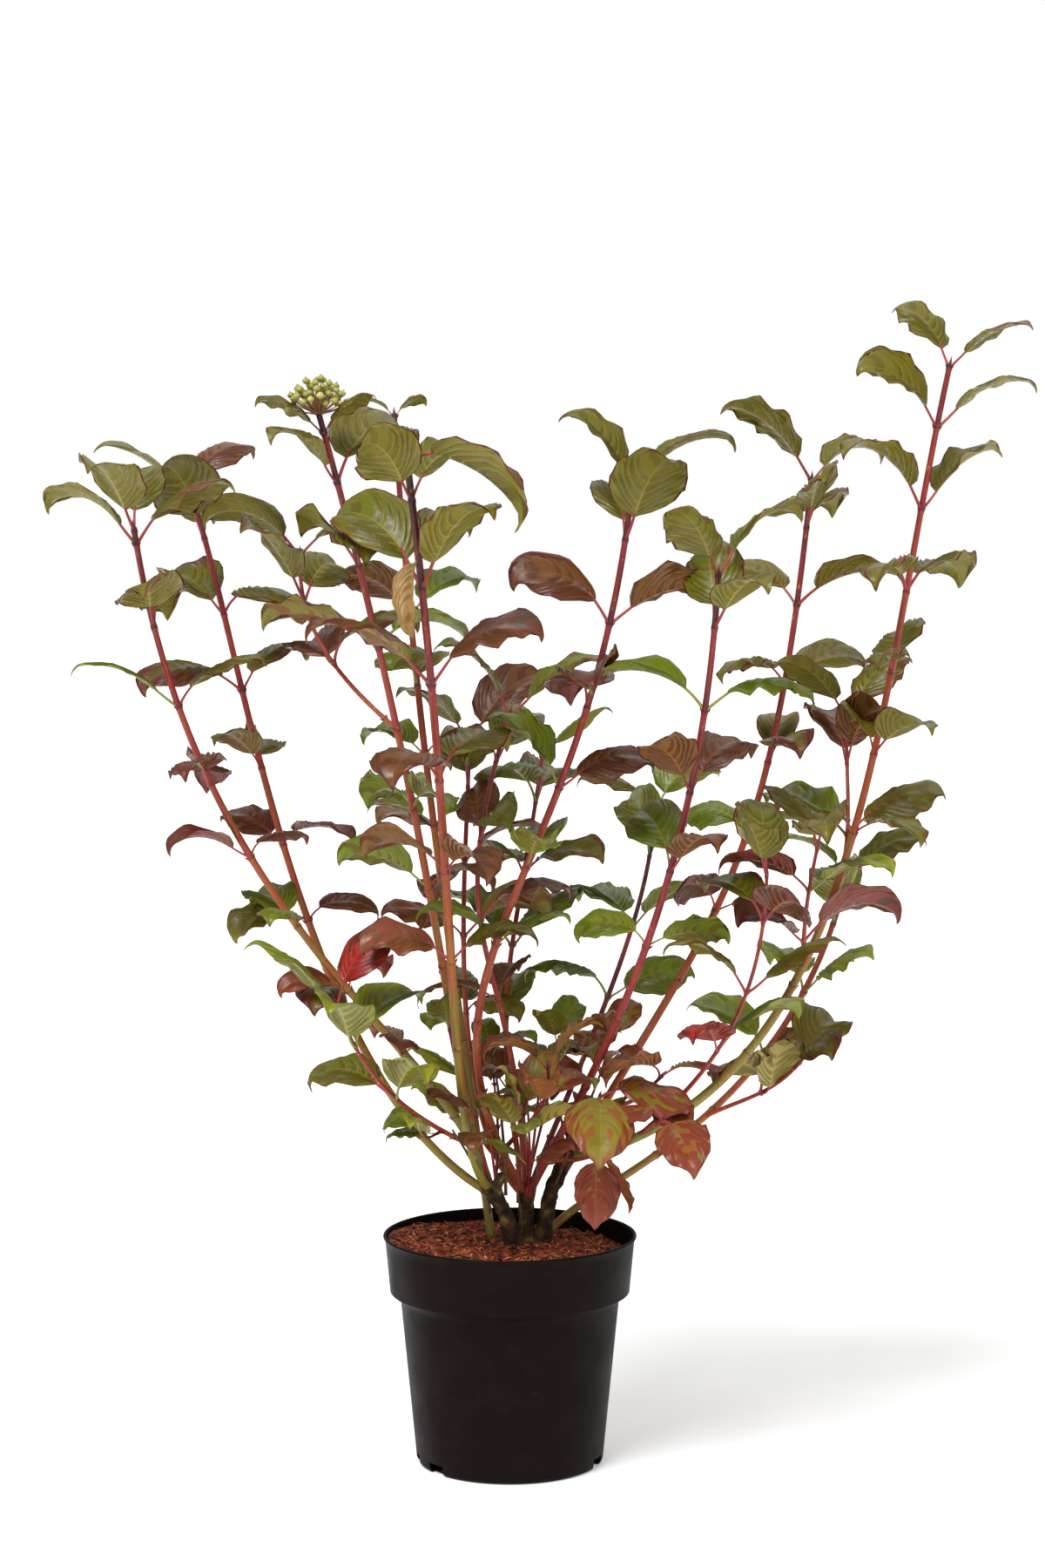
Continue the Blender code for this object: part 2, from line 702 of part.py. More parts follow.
def grow_leaves(name, limb, path, space):
    """{place along the limb: its leaves}, from the tip down, each clear of everything in the space."""
    rng = random.Random(name)
    total = distances_of(path)[-1]
    grown = {}
    for number, place in enumerate(pairs_of(limb, total)):
        node, axis = point_at(path, place), axis_at(path, place)
        vigour = limb.top_size if number == 0 else 1.0 - AGEING * max(0, number - 2)
        lift = TOP_LIFT if number == 0 else max(FIRST_LIFT - LIFT_DROP * number, -MOST_DROP)
        grown[place] = []
        for side in (0, 180):
            bearing = limb.spin + limb.turn * number + side + rng.uniform(-MOST_TURN, MOST_TURN)
            rise = limb.rise + lift + rng.uniform(-MOST_TILT, MOST_TILT)
            size = vigour * rng.uniform(*SIZES)
            roll = math.radians(rng.uniform(-MOST_ROLL, MOST_ROLL))
            droop = math.radians(limb.droop + rng.uniform(-MOST_BEND, MOST_BEND))
            for turn, raised, scale in TRIES:
                leaf = leaf_of(limb, node, axis, bearing + turn, rise + raised, size * scale)
                leaf = leaf._replace(roll=roll, droop=droop)
                if space.has_room_for(leaf, name):
                    space.add(name, leaf_skin(leaf))
                    grown[place].append(leaf)
                    break
    for carrier, share, bearing, rise, droop, length in LONE_LEAVES:
        if carrier == name:
            place = share * total
            node, axis = point_at(path, place), axis_at(path, place)
            leaf = leaf_of(limb, node, axis, bearing, rise, length / LEAF_LENGTH)
            leaf = leaf._replace(droop=math.radians(droop), bearing=math.radians(bearing))
            if space.has_room_for(leaf, name):
                space.add(name, leaf_skin(leaf))
                grown[place] = [leaf]
    return grown


# ------------------------------------------------------------------ fruit


def fruit_places(path):
    """The centres of the berries, in a flat-topped head over the limb's tip."""
    tip = path[-1]
    places = []
    for number in range(BERRIES):
        reach = HEAD_RADIUS * math.sqrt((number + 0.4) / BERRIES)
        angle = number * GOLDEN_ANGLE
        rise = HEAD_RISE - HEAD_DOME * (reach / HEAD_RADIUS) ** 2
        places.append(tip + np.array((reach * math.cos(angle), reach * math.sin(angle), rise)))
    return places


def make_fruit(path):
    """Berries on stalks that all start inside the limb's tip."""
    pieces = []
    root = point_at(path, distances_of(path)[-1] - BERRY_RADIUS)
    for number, place in enumerate(fruit_places(path)):
        radii = (BERRY_STALK_RADIUS * BERRY_STALK_SWELL, BERRY_STALK_RADIUS)
        pieces.append(solid(f"berry_stalk_{number}", *straight_tube(root, place, radii, 3)))
        form = bmesh.new()
        bmesh.ops.create_icosphere(form, subdivisions=1, radius=BERRY_RADIUS)
        mesh = bpy.data.meshes.new("berry")
        form.to_mesh(mesh)
        form.free()
        mesh.transform(Matrix.Translation(place))
        berry = bpy.data.objects.new(f"berry_{number}", mesh)
        bpy.context.scene.collection.objects.link(berry)
        pieces.append(berry)
    return pieces


# ------------------------------------------------------------------ the whole


def clear_scene():
    for old in list(bpy.data.objects):
        bpy.data.objects.remove(old)


def finishes():
    return {
        "plastic": material("pot_plastic", (0.018, 0.013, 0.011), 0.55),
        "mix": material("potting_mix", (0.12, 0.05, 0.025), 0.95),
        "old_bark": material("old_bark", (0.085, 0.06, 0.035), 0.85),
        "red_bark": material("red_bark", (0.30, 0.075, 0.045), 0.5),
        "foliage": material("foliage", (0.13, 0.17, 0.05), 0.5),
    }


def make_limbs(lengths, paths, finish):
    """The bare solid of each length. Where two limbs meet, the later one is cut clear of the earlier."""
    made, grown, standing = {}, {}, Space()
    for name, length in lengths:
        node, _, end, leafy = length
        limb = LIMBS[name]
        bark = finish["foliage"] if leafy else finish["red_bark" if limb.parts else "old_bark"]
        skin = length_skin(name, limb, paths[name], length)
        stem = solid(node, *skin, bark)
        met = [other for other in grown if other[0] != name and standing.meets(skin, other.__eq__)]
        if met:
            cut(stem, [solid("cutter", *grown[other]) for other in met])
            keep_piece_at(stem, point_at(paths[name], end))
        grown[name, node] = length_skin(name, limb, paths[name], length, CUT_CLEARANCE)
        standing.add((name, node), grown[name, node])
        made[node] = stem
    return made


def take_up_space(bodies, lengths, paths):
    """A space that holds the pot, the soil, every limb and the berries."""
    space = Space()
    for body in bodies:
        vertices = np.array([vertex.co[:] for vertex in body.data.vertices])
        space.add(body.name, (vertices, [tuple(face.vertices) for face in body.data.polygons]))
    for name, length in lengths:
        space.add(name, length_skin(name, LIMBS[name], paths[name], length))
    rise = np.array((0.0, 0.0, BERRY_RADIUS))
    for place in fruit_places(paths["berry"]):
        berry = straight_tube(place - rise, place + rise, (BERRY_RADIUS, BERRY_RADIUS), STEM_SIDES)
        space.add("fruit", berry)
    return space


def main():
    clear_scene()
    finish = finishes()
    pot, soil = make_pot(finish["plastic"]), make_soil(finish["mix"])
    paths = {}
    for name, limb in LIMBS.items():
        paths[name] = limb_path(foot_point(limb, paths), limb)
    lengths = [
        (name, length)
        for name, limb in LIMBS.items()
        for length in lengths_of(name, limb, distances_of(paths[name])[-1])
    ]
    stems = make_limbs(lengths, paths, finish)
    space = take_up_space((pot, soil), lengths, paths)
    leaves = {}
    for name, limb in LIMBS.items():
        if limb.parts:
            leaves[name] = grow_leaves(name, limb, paths[name], space)
    for name, (node, start, end, leafy) in lengths:
        if not leafy:
            continue
        own = [leaf for place, grown in leaves[name].items() if start < place <= end for leaf in grown]
        pieces = [solid(f"{node}_{number}", *leaf_skin(leaf)) for number, leaf in enumerate(own)]
        if name == "berry" and end == distances_of(paths[name])[-1]:
            pieces += make_fruit(paths[name])
        join(stems[node], pieces)


main()
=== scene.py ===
# %% [markdown]
# # A red-stemmed dogwood in a nursery pot
# The plant is a young garden dogwood: three old stubs of trunk in a black pot, a fan of red canes,
# and broad veined leaves in opposite pairs that are turning from green to bronze and crimson.
# We dress the plain solids of the frame. Each piece here is a numpy surface: a grid of points worked
# out from two parameters and handed to Blender as one mesh.

# %% Load the fixed frame
import math
import random
from typing import NamedTuple

import bmesh
import bpy
import numpy as np
from mathutils.bvhtree import BVHTree
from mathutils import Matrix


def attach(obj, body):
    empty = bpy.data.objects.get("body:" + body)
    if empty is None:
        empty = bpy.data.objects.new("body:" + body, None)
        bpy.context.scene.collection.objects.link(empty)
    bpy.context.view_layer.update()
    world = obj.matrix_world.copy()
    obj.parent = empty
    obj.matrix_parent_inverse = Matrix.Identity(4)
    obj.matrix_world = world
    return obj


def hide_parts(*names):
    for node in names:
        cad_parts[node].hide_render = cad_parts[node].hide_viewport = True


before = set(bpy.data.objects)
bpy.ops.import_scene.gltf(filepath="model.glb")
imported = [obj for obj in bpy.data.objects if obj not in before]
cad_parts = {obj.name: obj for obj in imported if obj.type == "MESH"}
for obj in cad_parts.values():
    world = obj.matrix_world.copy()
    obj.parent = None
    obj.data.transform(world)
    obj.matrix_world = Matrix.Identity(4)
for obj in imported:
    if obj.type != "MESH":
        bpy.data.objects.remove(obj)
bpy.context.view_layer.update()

# %% [markdown]
# ## Camera, light and floor
# The plant stands on a white floor in a white studio. A long lens from three metres away keeps the fan
# of canes free of distortion. One broad light, high in front on the left, shapes the leaves. Two weaker
# ones, low in front on the right and high behind, open the shade. All are suns with a wide angle, so the
# floor is lit evenly to its edge. The camera sees a white surround, and the plant gets only part of that
# light, or all of it would look hazy.

# %% Camera
LENS, SENSOR_HEIGHT = 71.1, 36.0
CAMERA_PLACE, CAMERA_DIP = (0.013, -3.15, 0.92), 4.0

camera = bpy.data.objects.new("camera", bpy.data.cameras.new("camera"))
camera.data.lens = LENS
camera.data.sensor_fit = "VERTICAL"
camera.data.sensor_height = SENSOR_HEIGHT
camera.location = CAMERA_PLACE
camera.rotation_euler = (math.radians(90.0 - CAMERA_DIP), 0.0, 0.0)
bpy.context.scene.collection.objects.link(camera)
bpy.context.scene.camera = camera
bpy.context.scene.view_settings.view_transform = "Standard"
print("camera at", CAMERA_PLACE)


# %% Lamps
def soft_sun(name, azimuth, elevation, width, strength):
    """A sun that shines from an azimuth and elevation, in degrees, and is width degrees across."""
    lamp = bpy.data.lights.new(name, "SUN")
    lamp.angle, lamp.energy = math.radians(width), strength
    holder = bpy.data.objects.new(name, lamp)
    holder.rotation_euler = (math.radians(90 - elevation), 0.0, math.radians(azimuth + 90))
    bpy.context.scene.collection.objects.link(holder)


soft_sun("key_light", azimuth=-125.0, elevation=54.0, width=30.0, strength=2.75)
soft_sun("fill_light", azimuth=-60.0, elevation=18.0, width=60.0, strength=0.75)
soft_sun("back_light", azimuth=75.0, elevation=50.0, width=60.0, strength=0.6)
print("lamps:", [lamp.name for lamp in bpy.data.lights])

# %% Surround
SURROUND_LIGHT = 0.36
world = bpy.data.worlds.new("surround")
bpy.context.scene.world = world
world.use_nodes = True
sky, sky_links = world.node_tree.nodes, world.node_tree.links
walls, seen = sky["Background"], sky.new("ShaderNodeBackground")
choice, rays = sky.new("ShaderNodeMixShader"), sky.new("ShaderNodeLightPath")
walls.inputs["Color"].default_value = seen.inputs["Color"].default_value = (1.0, 1.0, 1.0, 1.0)
walls.inputs["Strength"].default_value = SURROUND_LIGHT
sky_links.new(rays.outputs["Is Camera Ray"], choice.inputs["Fac"])
sky_links.new(walls.outputs["Background"], choice.inputs[1])
sky_links.new(seen.outputs["Background"], choice.inputs[2])
sky_links.new(choice.outputs["Shader"], sky["World Output"].inputs["Surface"])
print("surround: white to the camera,", SURROUND_LIGHT, "of that to the plant")

# %% Floor
FLOOR_HALF, FLOOR_GLOW = 40.0, 0.26
PAPER_WHITE, PAPER_ROUGHNESS = 0.93, 0.9
floor_mesh = bpy.data.meshes.new("floor")
floor_corners = [(x * FLOOR_HALF, y * FLOOR_HALF, 0.0) for x, y in ((-1, -1), (1, -1), (1, 1), (-1, 1))]
floor_mesh.from_pydata(floor_corners, [], [(0, 1, 2, 3)])
floor = bpy.data.objects.new("floor", floor_mesh)
bpy.context.scene.collection.objects.link(floor)
paper = bpy.data.materials.new("paper")
paper.use_nodes = True
sheet = paper.node_tree.nodes["Principled BSDF"].inputs
sheet["Base Color"].default_value = (PAPER_WHITE, PAPER_WHITE, PAPER_WHITE, 1.0)
sheet["Roughness"].default_value = PAPER_ROUGHNESS
sheet["Emission Color"].default_value = (1.0, 1.0, 1.0, 1.0)
sheet["Emission Strength"].default_value = FLOOR_GLOW
floor_mesh.materials.append(paper)
print("floor:", 2 * FLOOR_HALF, "m across")

# %% [markdown]
# ## The limbs, from named sizes
# Every cane is one cubic curve: it starts at its foot, leans away at a given angle, and arrives at its
# tip with another lean. Four numbers for each end are enough for a graceful stem, and they keep the
# plant easy to change. The solids of the frame come from the same table, so all that grows here grows
# in their place.

# %% Sizes
# Lengths are in metres, angles in degrees, and the rest are shares.
SOIL_TOP = 0.226
CLEARANCE = 0.0003
CURVE_STEPS, AXIS_STEP = 24, 0.002
BARE_SIDES, STEM_SIDES, TRUNK_SIDES = 7, 6, 10
BARE_STEP, STEM_STEP, TRUNK_STEP = 0.034, 0.090, 0.009
FLARE, FLARE_LENGTH, KNOB, GNARL = 0.35, 0.012, 0.30, 0.09
# The rounded top of a plain trunk: how far up each ring is, in radii, and its share of the last width.
TRUNK_DOME = ((0.45, 0.80), (0.65, 0.40))
LEAF_LENGTH, LEAF_WIDTH, LEAF_THICKNESS, LEAF_FOLD = 0.098, 0.66, 0.012, 0.16
LEAF_ROWS = (0.30, 0.68)
WIDE_POWER, NARROW_POWER = 0.6, 0.9
PAIR_GAP = 0.084
STALK_LENGTH, STALK_ELBOW, STALK_RADIUS, STALK_SPREAD = 0.026, 0.60, 0.0011, 38.0
LEAF_CLEARANCE = 0.0014
# What chance may do to a leaf, and how its size and its rise go down from pair to pair.
MOST_TURN, MOST_TILT, MOST_ROLL, MOST_BEND = 16.0, 15.0, 30.0, 26.0
SIZES = (0.86, 1.10)
AGEING = 0.05
TOP_LIFT, FIRST_LIFT, LIFT_DROP, MOST_DROP = 12, 8, 4, 18
# The tries at a leaf, in order: turned by, raised by, and its share of the size.
TRIES = (
    (0, 0, 1.0), (22, 5, 1.0), (-22, 5, 1.0), (0, 22, 0.95), (0, -25, 0.95), (38, 15, 0.9),
    (-38, 15, 0.9), (30, -25, 0.85), (-30, -25, 0.85), (0, 0, 0.68), (50, 0, 0.62), (-50, 0, 0.62),
)
BERRIES, BERRY_RADIUS, HEAD_RADIUS, HEAD_RISE, HEAD_DOME = 11, 0.0042, 0.026, 0.030, 0.008
FIRST_BERRY = 0.4
GOLDEN_ANGLE = math.radians(137.5)
print("soil at", SOIL_TOP, "m, blades of", LEAF_LENGTH, "m")


# %% What a limb is
class Limb(NamedTuple):
    """Foot, lean and tip of a limb, and how its leaves sit. Angles are in degrees.

    foot is (x, y) on the soil, or (limb, share of its length). lean and tip_lean are from the
    vertical, as (towards +X, towards +Y), and pull says how far along the chord each of them holds.
    Leaves grow above the share bare. spin is the bearing of the top pair, turn the angle from one
    pair down to the next, bud how far below the tip the top pair sits, rise how steeply a blade
    starts, and droop how far it bends down. radius is the stem's, at foot and tip, and parts how many
    leafy lengths it has. size scales its leaves and their gaps, and top_gap and top_size are those of
    the top pair. tone is the bark's colour at foot and tip, from 0, pale green, through orange and red
    to 1, maroon.
    """

    foot: tuple
    lean: tuple
    tip: tuple
    tip_lean: tuple
    pull: tuple = (0.35, 0.35)
    radius: tuple = (0.0045, 0.0029)
    bare: float = 0.0
    parts: int = 1
    spin: float = 0.0
    turn: float = 62.0
    size: float = 1.0
    bud: float = 0.004
    top_gap: float = 0.050
    top_size: float = 0.95
    rise: float = 44.0
    droop: float = 78.0
    tone: tuple = (0.45, 0.72)


print("a limb has", len(Limb._fields), "values, and", len(Limb._field_defaults), "of them have defaults")

# %% The table of limbs
TRUNK = {"radius": (0.0082, 0.0064), "parts": 0}
THIN = {"radius": (0.0033, 0.0022)}
SHOOT = {"radius": (0.0026, 0.0017)}

LIMBS = {
    "trunk_left": Limb((0.003, -0.018), (-4, 0), (-0.021, -0.027, 0.290), (-38, -8), **TRUNK),
    "trunk_middle": Limb((0.017, 0.006), (0, 0), (0.016, 0.008, 0.276), (-2, 4), **TRUNK),
    "trunk_right": Limb((0.033, 0.004), (8, 0), (0.060, 0.015, 0.312), (36, 12), **TRUNK),
    "far_left": Limb(
        ("trunk_left", 0.97), (-14, 0), (-0.375, -0.05, 0.960), (-8, -2),
        pull=(0.20, 0.55), bare=0.16, parts=2, spin=75, turn=95, top_gap=0.014, tone=(0.02, 0.76),
    ),
    "left": Limb(
        ("trunk_left", 0.82), (-64, 18), (-0.340, 0.13, 1.000), (-26, 8),
        pull=(0.30, 0.15), bare=0.24, parts=2, spin=10, tone=(0.10, 0.77),
    ),
    "berry": Limb(
        ("trunk_left", 0.99), (-18, 18), (-0.185, -0.13, 1.070), (-15, -8),
        pull=(0.20, 0.55), bare=0.30, parts=2, spin=160, bud=0.022, top_size=0.58, tone=(0.10, 0.80),
    ),
    "front": Limb(
        ("trunk_left", 0.90), (-48, -38), (-0.095, -0.27, 1.025), (-7, -14),
        pull=(0.10, 0.55), radius=(0.0050, 0.0034), bare=0.30, parts=2, spin=238, bud=0.045,
        size=1.14, top_gap=0.085, top_size=0.80, tone=(0.02, 0.97),
    ),
    "back_left": Limb(
        (-0.019, 0.016), (-8, 4), (-0.125, 0.20, 1.085), (-4, 13),
        pull=(0.30, 0.40), bare=0.32, parts=2, spin=20, size=0.9, top_size=0.42, top_gap=0.07,
        tone=(0.00, 0.80),
    ),
    "centre": Limb(
        ("trunk_middle", 0.96), (-28, -30), (0.120, -0.12, 1.000), (6, 0),
        pull=(0.45, 0.55), bare=0.30, parts=2, spin=5, turn=90, tone=(0.34, 0.80),
    ),
    "middle": Limb(
        ("trunk_middle", 0.98), (-2, 4), (0.000, 0.06, 0.770), (17, 5),
        pull=(0.55, 0.55), bare=0.22, spin=170, tone=(0.50, 0.72), **THIN,
    ),
    "middle_back": Limb(
        ("trunk_middle", 0.90), (-50, 22), (-0.045, 0.20, 0.735), (-1, 12),
        pull=(0.25, 0.20), bare=0.22, spin=30, tone=(0.36, 0.70), **THIN,
    ),
    "centre_back": Limb(
        ("trunk_middle", 0.94), (-12, 26), (0.035, 0.24, 0.715), (8, 16),
        pull=(0.45, 0.45), bare=0.22, spin=0, tone=(0.46, 0.78), **THIN,
    ),
    "thin_right": Limb(
        ("trunk_middle", 0.85), (22, 26), (0.155, 0.20, 0.660), (-1, 10),
        pull=(0.30, 0.25), bare=0.22, spin=200, tone=(0.74, 0.84), **THIN,
    ),
    "right": Limb(
        ("trunk_middle", 0.80), (16, -20), (0.200, -0.19, 0.915), (2, -12),
        pull=(0.10, 0.55), bare=0.34, parts=2, spin=40, tone=(0.60, 0.76),
    ),
    "back_right": Limb(
        ("trunk_right", 0.55), (32, 24), (0.320, 0.15, 1.015), (6, 6),
        pull=(0.45, 0.55), bare=0.34, parts=2, spin=20, tone=(0.30, 0.80),
    ),
    "far_right": Limb(
        ("trunk_right", 0.97), (78, -6), (0.445, 0.0, 1.125), (12, 0),
        pull=(0.35, 0.40), radius=(0.0050, 0.0028), bare=0.36, parts=2, spin=150, turn=28,
        top_gap=0.062, top_size=0.84, tone=(0.03, 0.72),
    ),
    "low_right": Limb(
        (0.040, 0.046), (40, 24), (0.370, 0.24, 0.580), (15, 10),
        pull=(0.15, 0.55), bare=0.46, spin=15, tone=(0.12, 0.62),
    ),
    "arch_twig": Limb(
        ("far_right", 0.40), (30, 20), (0.355, 0.11, 0.765), (3, 10), bare=0.2, spin=30, **SHOOT
    ),
    "arch_twig_front": Limb(
        ("far_right", 0.34), (0, -30), (0.305, -0.10, 0.645), (11, -10), bare=0.2, spin=100, **SHOOT
    ),
    "red_shoot": Limb(
        ("far_right", 0.08), (46, -30), (0.250, -0.16, 0.625), (0, -10), bare=0.3, spin=60,
        tone=(0.62, 0.64), **SHOOT,
    ),
    "low_twig": Limb(
        ("low_right", 0.41), (60, -30), (0.305, 0.10, 0.395), (40, 0), bare=0.3, spin=80, **SHOOT
    ),
    "low_left": Limb(
        ("far_left", 0.06), (-62, -30), (-0.170, -0.14, 0.495), (-18, -10), bare=0.25, spin=10, **SHOOT
    ),
    "low_back": Limb(
        ("back_right", 0.12), (70, -20), (0.155, -0.03, 0.405), (41, -10), bare=0.3, spin=20, turn=80,
        rise=-5, droop=58, **SHOOT,
    ),
    "low_front": Limb(
        ("centre", 0.08), (30, -46), (0.038, -0.115, 0.430), (-8, -14),
        bare=0.25, spin=200, size=0.72, **SHOOT,
    ),
    "low_middle": Limb(
        ("middle_back", 0.10), (-40, -22), (-0.062, -0.030, 0.455), (-12, -8),
        bare=0.25, spin=90, size=0.72, **SHOOT,
    ),
    "rim_twig": Limb(
        ("right", 0.07), (55, -50), (0.086, -0.062, 0.330), (60, -40), bare=0.75, spin=265, turn=90,
        size=0.84, rise=-78, droop=14, **SHOOT,
    ),
    "berry_twig": Limb(
        ("berry", 0.60), (-50, 25), (-0.215, 0.03, 0.935), (2, 10), bare=0.3, spin=0, **SHOOT
    ),
}
# Leaves that hang apart from the pairs: (limb, share of its length, bearing, rise, droop, length).
LONE_LEAVES = (
    ("front", 0.985, -20, -12, 60, 0.104),
)
print(len(LIMBS), "limbs in the table")


# %% [markdown]
# ## Curves, and rings round them
# A cubic curve leaves its foot in one direction and reaches its tip in another. A tube is rings of
# points square to that curve. The first ring's side vector is carried from ring to ring and made
# square again each time, so the tube doesn't twist.

# %% Curves
def direction(lean):
    """The unit vector whose slope is tan(angle) towards +X and towards +Y for each metre of rise."""
    across, back = (math.tan(math.radians(angle)) for angle in lean)
    return np.array((across, back, 1.0)) / math.hypot(across, back, 1.0)


def handles(foot, limb):
    """The four control points: foot, foot plus lean, tip less its lean, tip, each pull times the chord."""
    start, end = np.array(foot, float), np.array(limb.tip, float)
    chord = np.linalg.norm(end - start)
    first = start + direction(limb.lean) * chord * limb.pull[0]
    second = end - direction(limb.tip_lean) * chord * limb.pull[1]
    return start, first, second, end


def cubic(points, t):
    """Bernstein's weights (1-t)^3, 3t(1-t)^2, 3t^2(1-t) and t^3 times the four control points."""
    t = np.asarray(t, float)[:, None]
    weights = ((1 - t) ** 3, 3 * (1 - t) ** 2 * t, 3 * (1 - t) * t**2, t**3)
    return sum(weight * point for weight, point in zip(weights, points))


def distances_of(path):
    """How far along the path each of its points lies: the running sum of the steps between them."""
    steps = np.linalg.norm(np.diff(path, axis=0), axis=1)
    return np.concatenate(([0.0], np.cumsum(steps)))


def point_at(path, distance):
    """The point at a distance along the path, on the straight step between its neighbours."""
    along = distances_of(path)
    return np.array([np.interp(distance, along, path[:, axis]) for axis in range(3)])


def axis_at(path, distance):
    """The path's unit tangent there: from a point a little behind to one a little ahead."""
    total = distances_of(path)[-1]
    ahead = point_at(path, min(distance + AXIS_STEP, total))
    behind = point_at(path, max(distance - AXIS_STEP, 0.0))
    return (ahead - behind) / np.linalg.norm(ahead - behind)


print("a lean of 45 degrees to the right:", direction((45.0, 0.0)).round(3))


# %% Rings, and the path of every limb
def rings_round(points, tangents, radii, sides):
    """Rings of centre + radius (cos a * side + sin a * up), square to the tangent, with no twist."""
    side = np.array((1.0, 0.0, 0.0)) if abs(tangents[0][0]) < 0.9 else np.array((0.0, 1.0, 0.0))
    angles = np.arange(sides) * 2 * math.pi / sides
    rings = []
    for point, tangent, radius in zip(points, tangents, radii):
        side = side - tangent * (side @ tangent)
        side = side / np.linalg.norm(side)
        up = np.cross(tangent, side)
        rings.append(point + radius * (np.outer(np.cos(angles), side) + np.outer(np.sin(angles), up)))
    return rings


curves, paths, totals = {}, {}, {}


def lay_out(limb_name, limb):
    """Notes the limb's control points, its path and its length."""
    if isinstance(limb.foot[0], str):
        carrier, share = limb.foot
        limb_foot = point_at(paths[carrier], totals[carrier] * share)
    else:
        limb_foot = (*limb.foot, SOIL_TOP + CLEARANCE)
    curves[limb_name] = handles(limb_foot, limb)
    paths[limb_name] = cubic(curves[limb_name], np.linspace(0.0, 1.0, CURVE_STEPS + 1))
    totals[limb_name] = distances_of(paths[limb_name])[-1]


for limb_name, limb in LIMBS.items():
    lay_out(limb_name, limb)
print("length of all limbs:", round(sum(totals.values()), 2), "m")


# %% [markdown]
# ## Where the leaves grow
# Dogwood leaves sit in opposite pairs, each pair turned from the one below. A seeded rule walks down
# every cane and tries each leaf in a plain skin of about twenty faces. A leaf that would touch a cane,
# the pot or another leaf is turned, raised or shrunk, and left out if nothing helps. It is the same rule,
# with the same draws, that placed the leaves of the solids, so the fine leaves land on them.

# %% Plain skins for the test
def lofted(rings, tip=None):
    """Vertices and faces of a closed skin over rings of points, which may end in one tip point."""
    count, sides = len(rings), len(rings[0])
    vertices = np.concatenate(rings)
    faces = [tuple(reversed(range(sides)))]
    for low in range(0, (count - 1) * sides, sides):
        high = low + sides
        faces += [(low + i, low + (i + 1) % sides, high + (i + 1) % sides, high + i) for i in range(sides)]
    last = (count - 1) * sides
    if tip is None:
        faces.append(tuple(range(last, last + sides)))
    else:
        faces += [(last + i, last + (i + 1) % sides, count * sides) for i in range(sides)]
        vertices = np.vstack((vertices, tip))
    return vertices, faces


def steps_between(stops, step):
    """The stops, with even steps put in wherever two of them lie further apart than one step."""
    along = [stops[0]]
    for before, after in zip(stops, stops[1:]):
        count = max(1, math.ceil((after - before) / step))
        along += [before + (after - before) * number / count for number in range(1, count + 1)]
    return along


def tube(path, along, radius, sides):
    """A tapering tube with a ring at each distance along a path; radius is that of the path's ends."""
    points = np.array([point_at(path, distance) for distance in along])
    tangents = [axis_at(path, distance) for distance in along]
    radii = np.interp(along, (0.0, distances_of(path)[-1]), radius)
    return lofted(rings_round(points, tangents, radii, sides))


def trunk_rings(name, path, radius):
    """Rings of a trunk: radius times 1 + flare at the soil + knob at the fork, swollen at random."""
    total = distances_of(path)[-1]
    gnarl = random.Random(name)
    count = math.ceil(total / TRUNK_STEP)
    along = np.linspace(0.0, total, count)
    radii = np.interp(along, (0.0, total), radius)
    radii *= 1 + FLARE * np.exp(-along / FLARE_LENGTH) + KNOB * (along / total) ** 3
    points = np.array([point_at(path, distance) for distance in along])
    rings = rings_round(points, [axis_at(path, distance) for distance in along], radii, TRUNK_SIDES)
    for rise, share in TRUNK_DOME:
        centre = points[-1] + axis_at(path, total) * radii[-1] * rise
        rings.append(centre + (rings[count - 1] - points[-1]) * share)
    centres = list(points) + [ring.mean(axis=0) for ring in rings[count:]]
    skin = []
    for ring, centre in zip(rings, centres):
        swell = np.array([1 + gnarl.uniform(-GNARL, GNARL) for _ in ring])[:, None]
        skin.append(centre + (ring - centre) * swell)
    skin[0][:, 2] = path[0][2]
    return skin


print("rings of a trunk:", len(trunk_rings("trunk_left", paths["trunk_left"], TRUNK["radius"])))


# %% Lengths of a limb and the pairs on it
def pairs_of(limb, total):
    """How far along the limb each pair of leaves sits, from the tip down."""
    places = []
    place, gap = total - limb.bud, limb.top_gap
    while place > limb.bare * total:
        places.append(place)
        place -= gap
        gap = PAIR_GAP * limb.size
    return places


def is_shoot(limb):
    """Whether a limb grows from a cane, and not from a trunk or the soil."""
    return isinstance(limb.foot[0], str) and LIMBS[limb.foot[0]].parts > 0


def limb_skins(name):
    """The plain skin of each length of a limb: its bare foot, and then each leafy length."""
    limb, path, total = LIMBS[name], paths[name], totals[name]
    if limb.parts == 0:
        return [lofted(trunk_rings(name, path, limb.radius))]
    places = pairs_of(limb, total)[::-1]
    starts = [limb.bare * total]
    for part in range(1, limb.parts):
        first = round(len(places) * part / limb.parts)
        starts.append((places[first - 1] + places[first]) / 2)
    ends = [start - CLEARANCE for start in starts[1:]] + [total]
    skins = []
    if is_shoot(limb):
        starts[0] = 0.0
    else:
        bare_steps = steps_between([0.0, starts[0] - CLEARANCE], BARE_STEP)
        skins.append(tube(path, bare_steps, limb.radius, BARE_SIDES))
        if not isinstance(limb.foot[0], str):
            skins[0][0][:BARE_SIDES, 2] = SOIL_TOP + CLEARANCE
    for start, end in zip(starts, ends):
        inner = [place for place in places if start < place < end]
        skins.append(tube(path, steps_between([start, *inner, end], STEM_STEP), limb.radius, STEM_SIDES))
    return skins


print("lengths of the front cane:", len(limb_skins("front")))


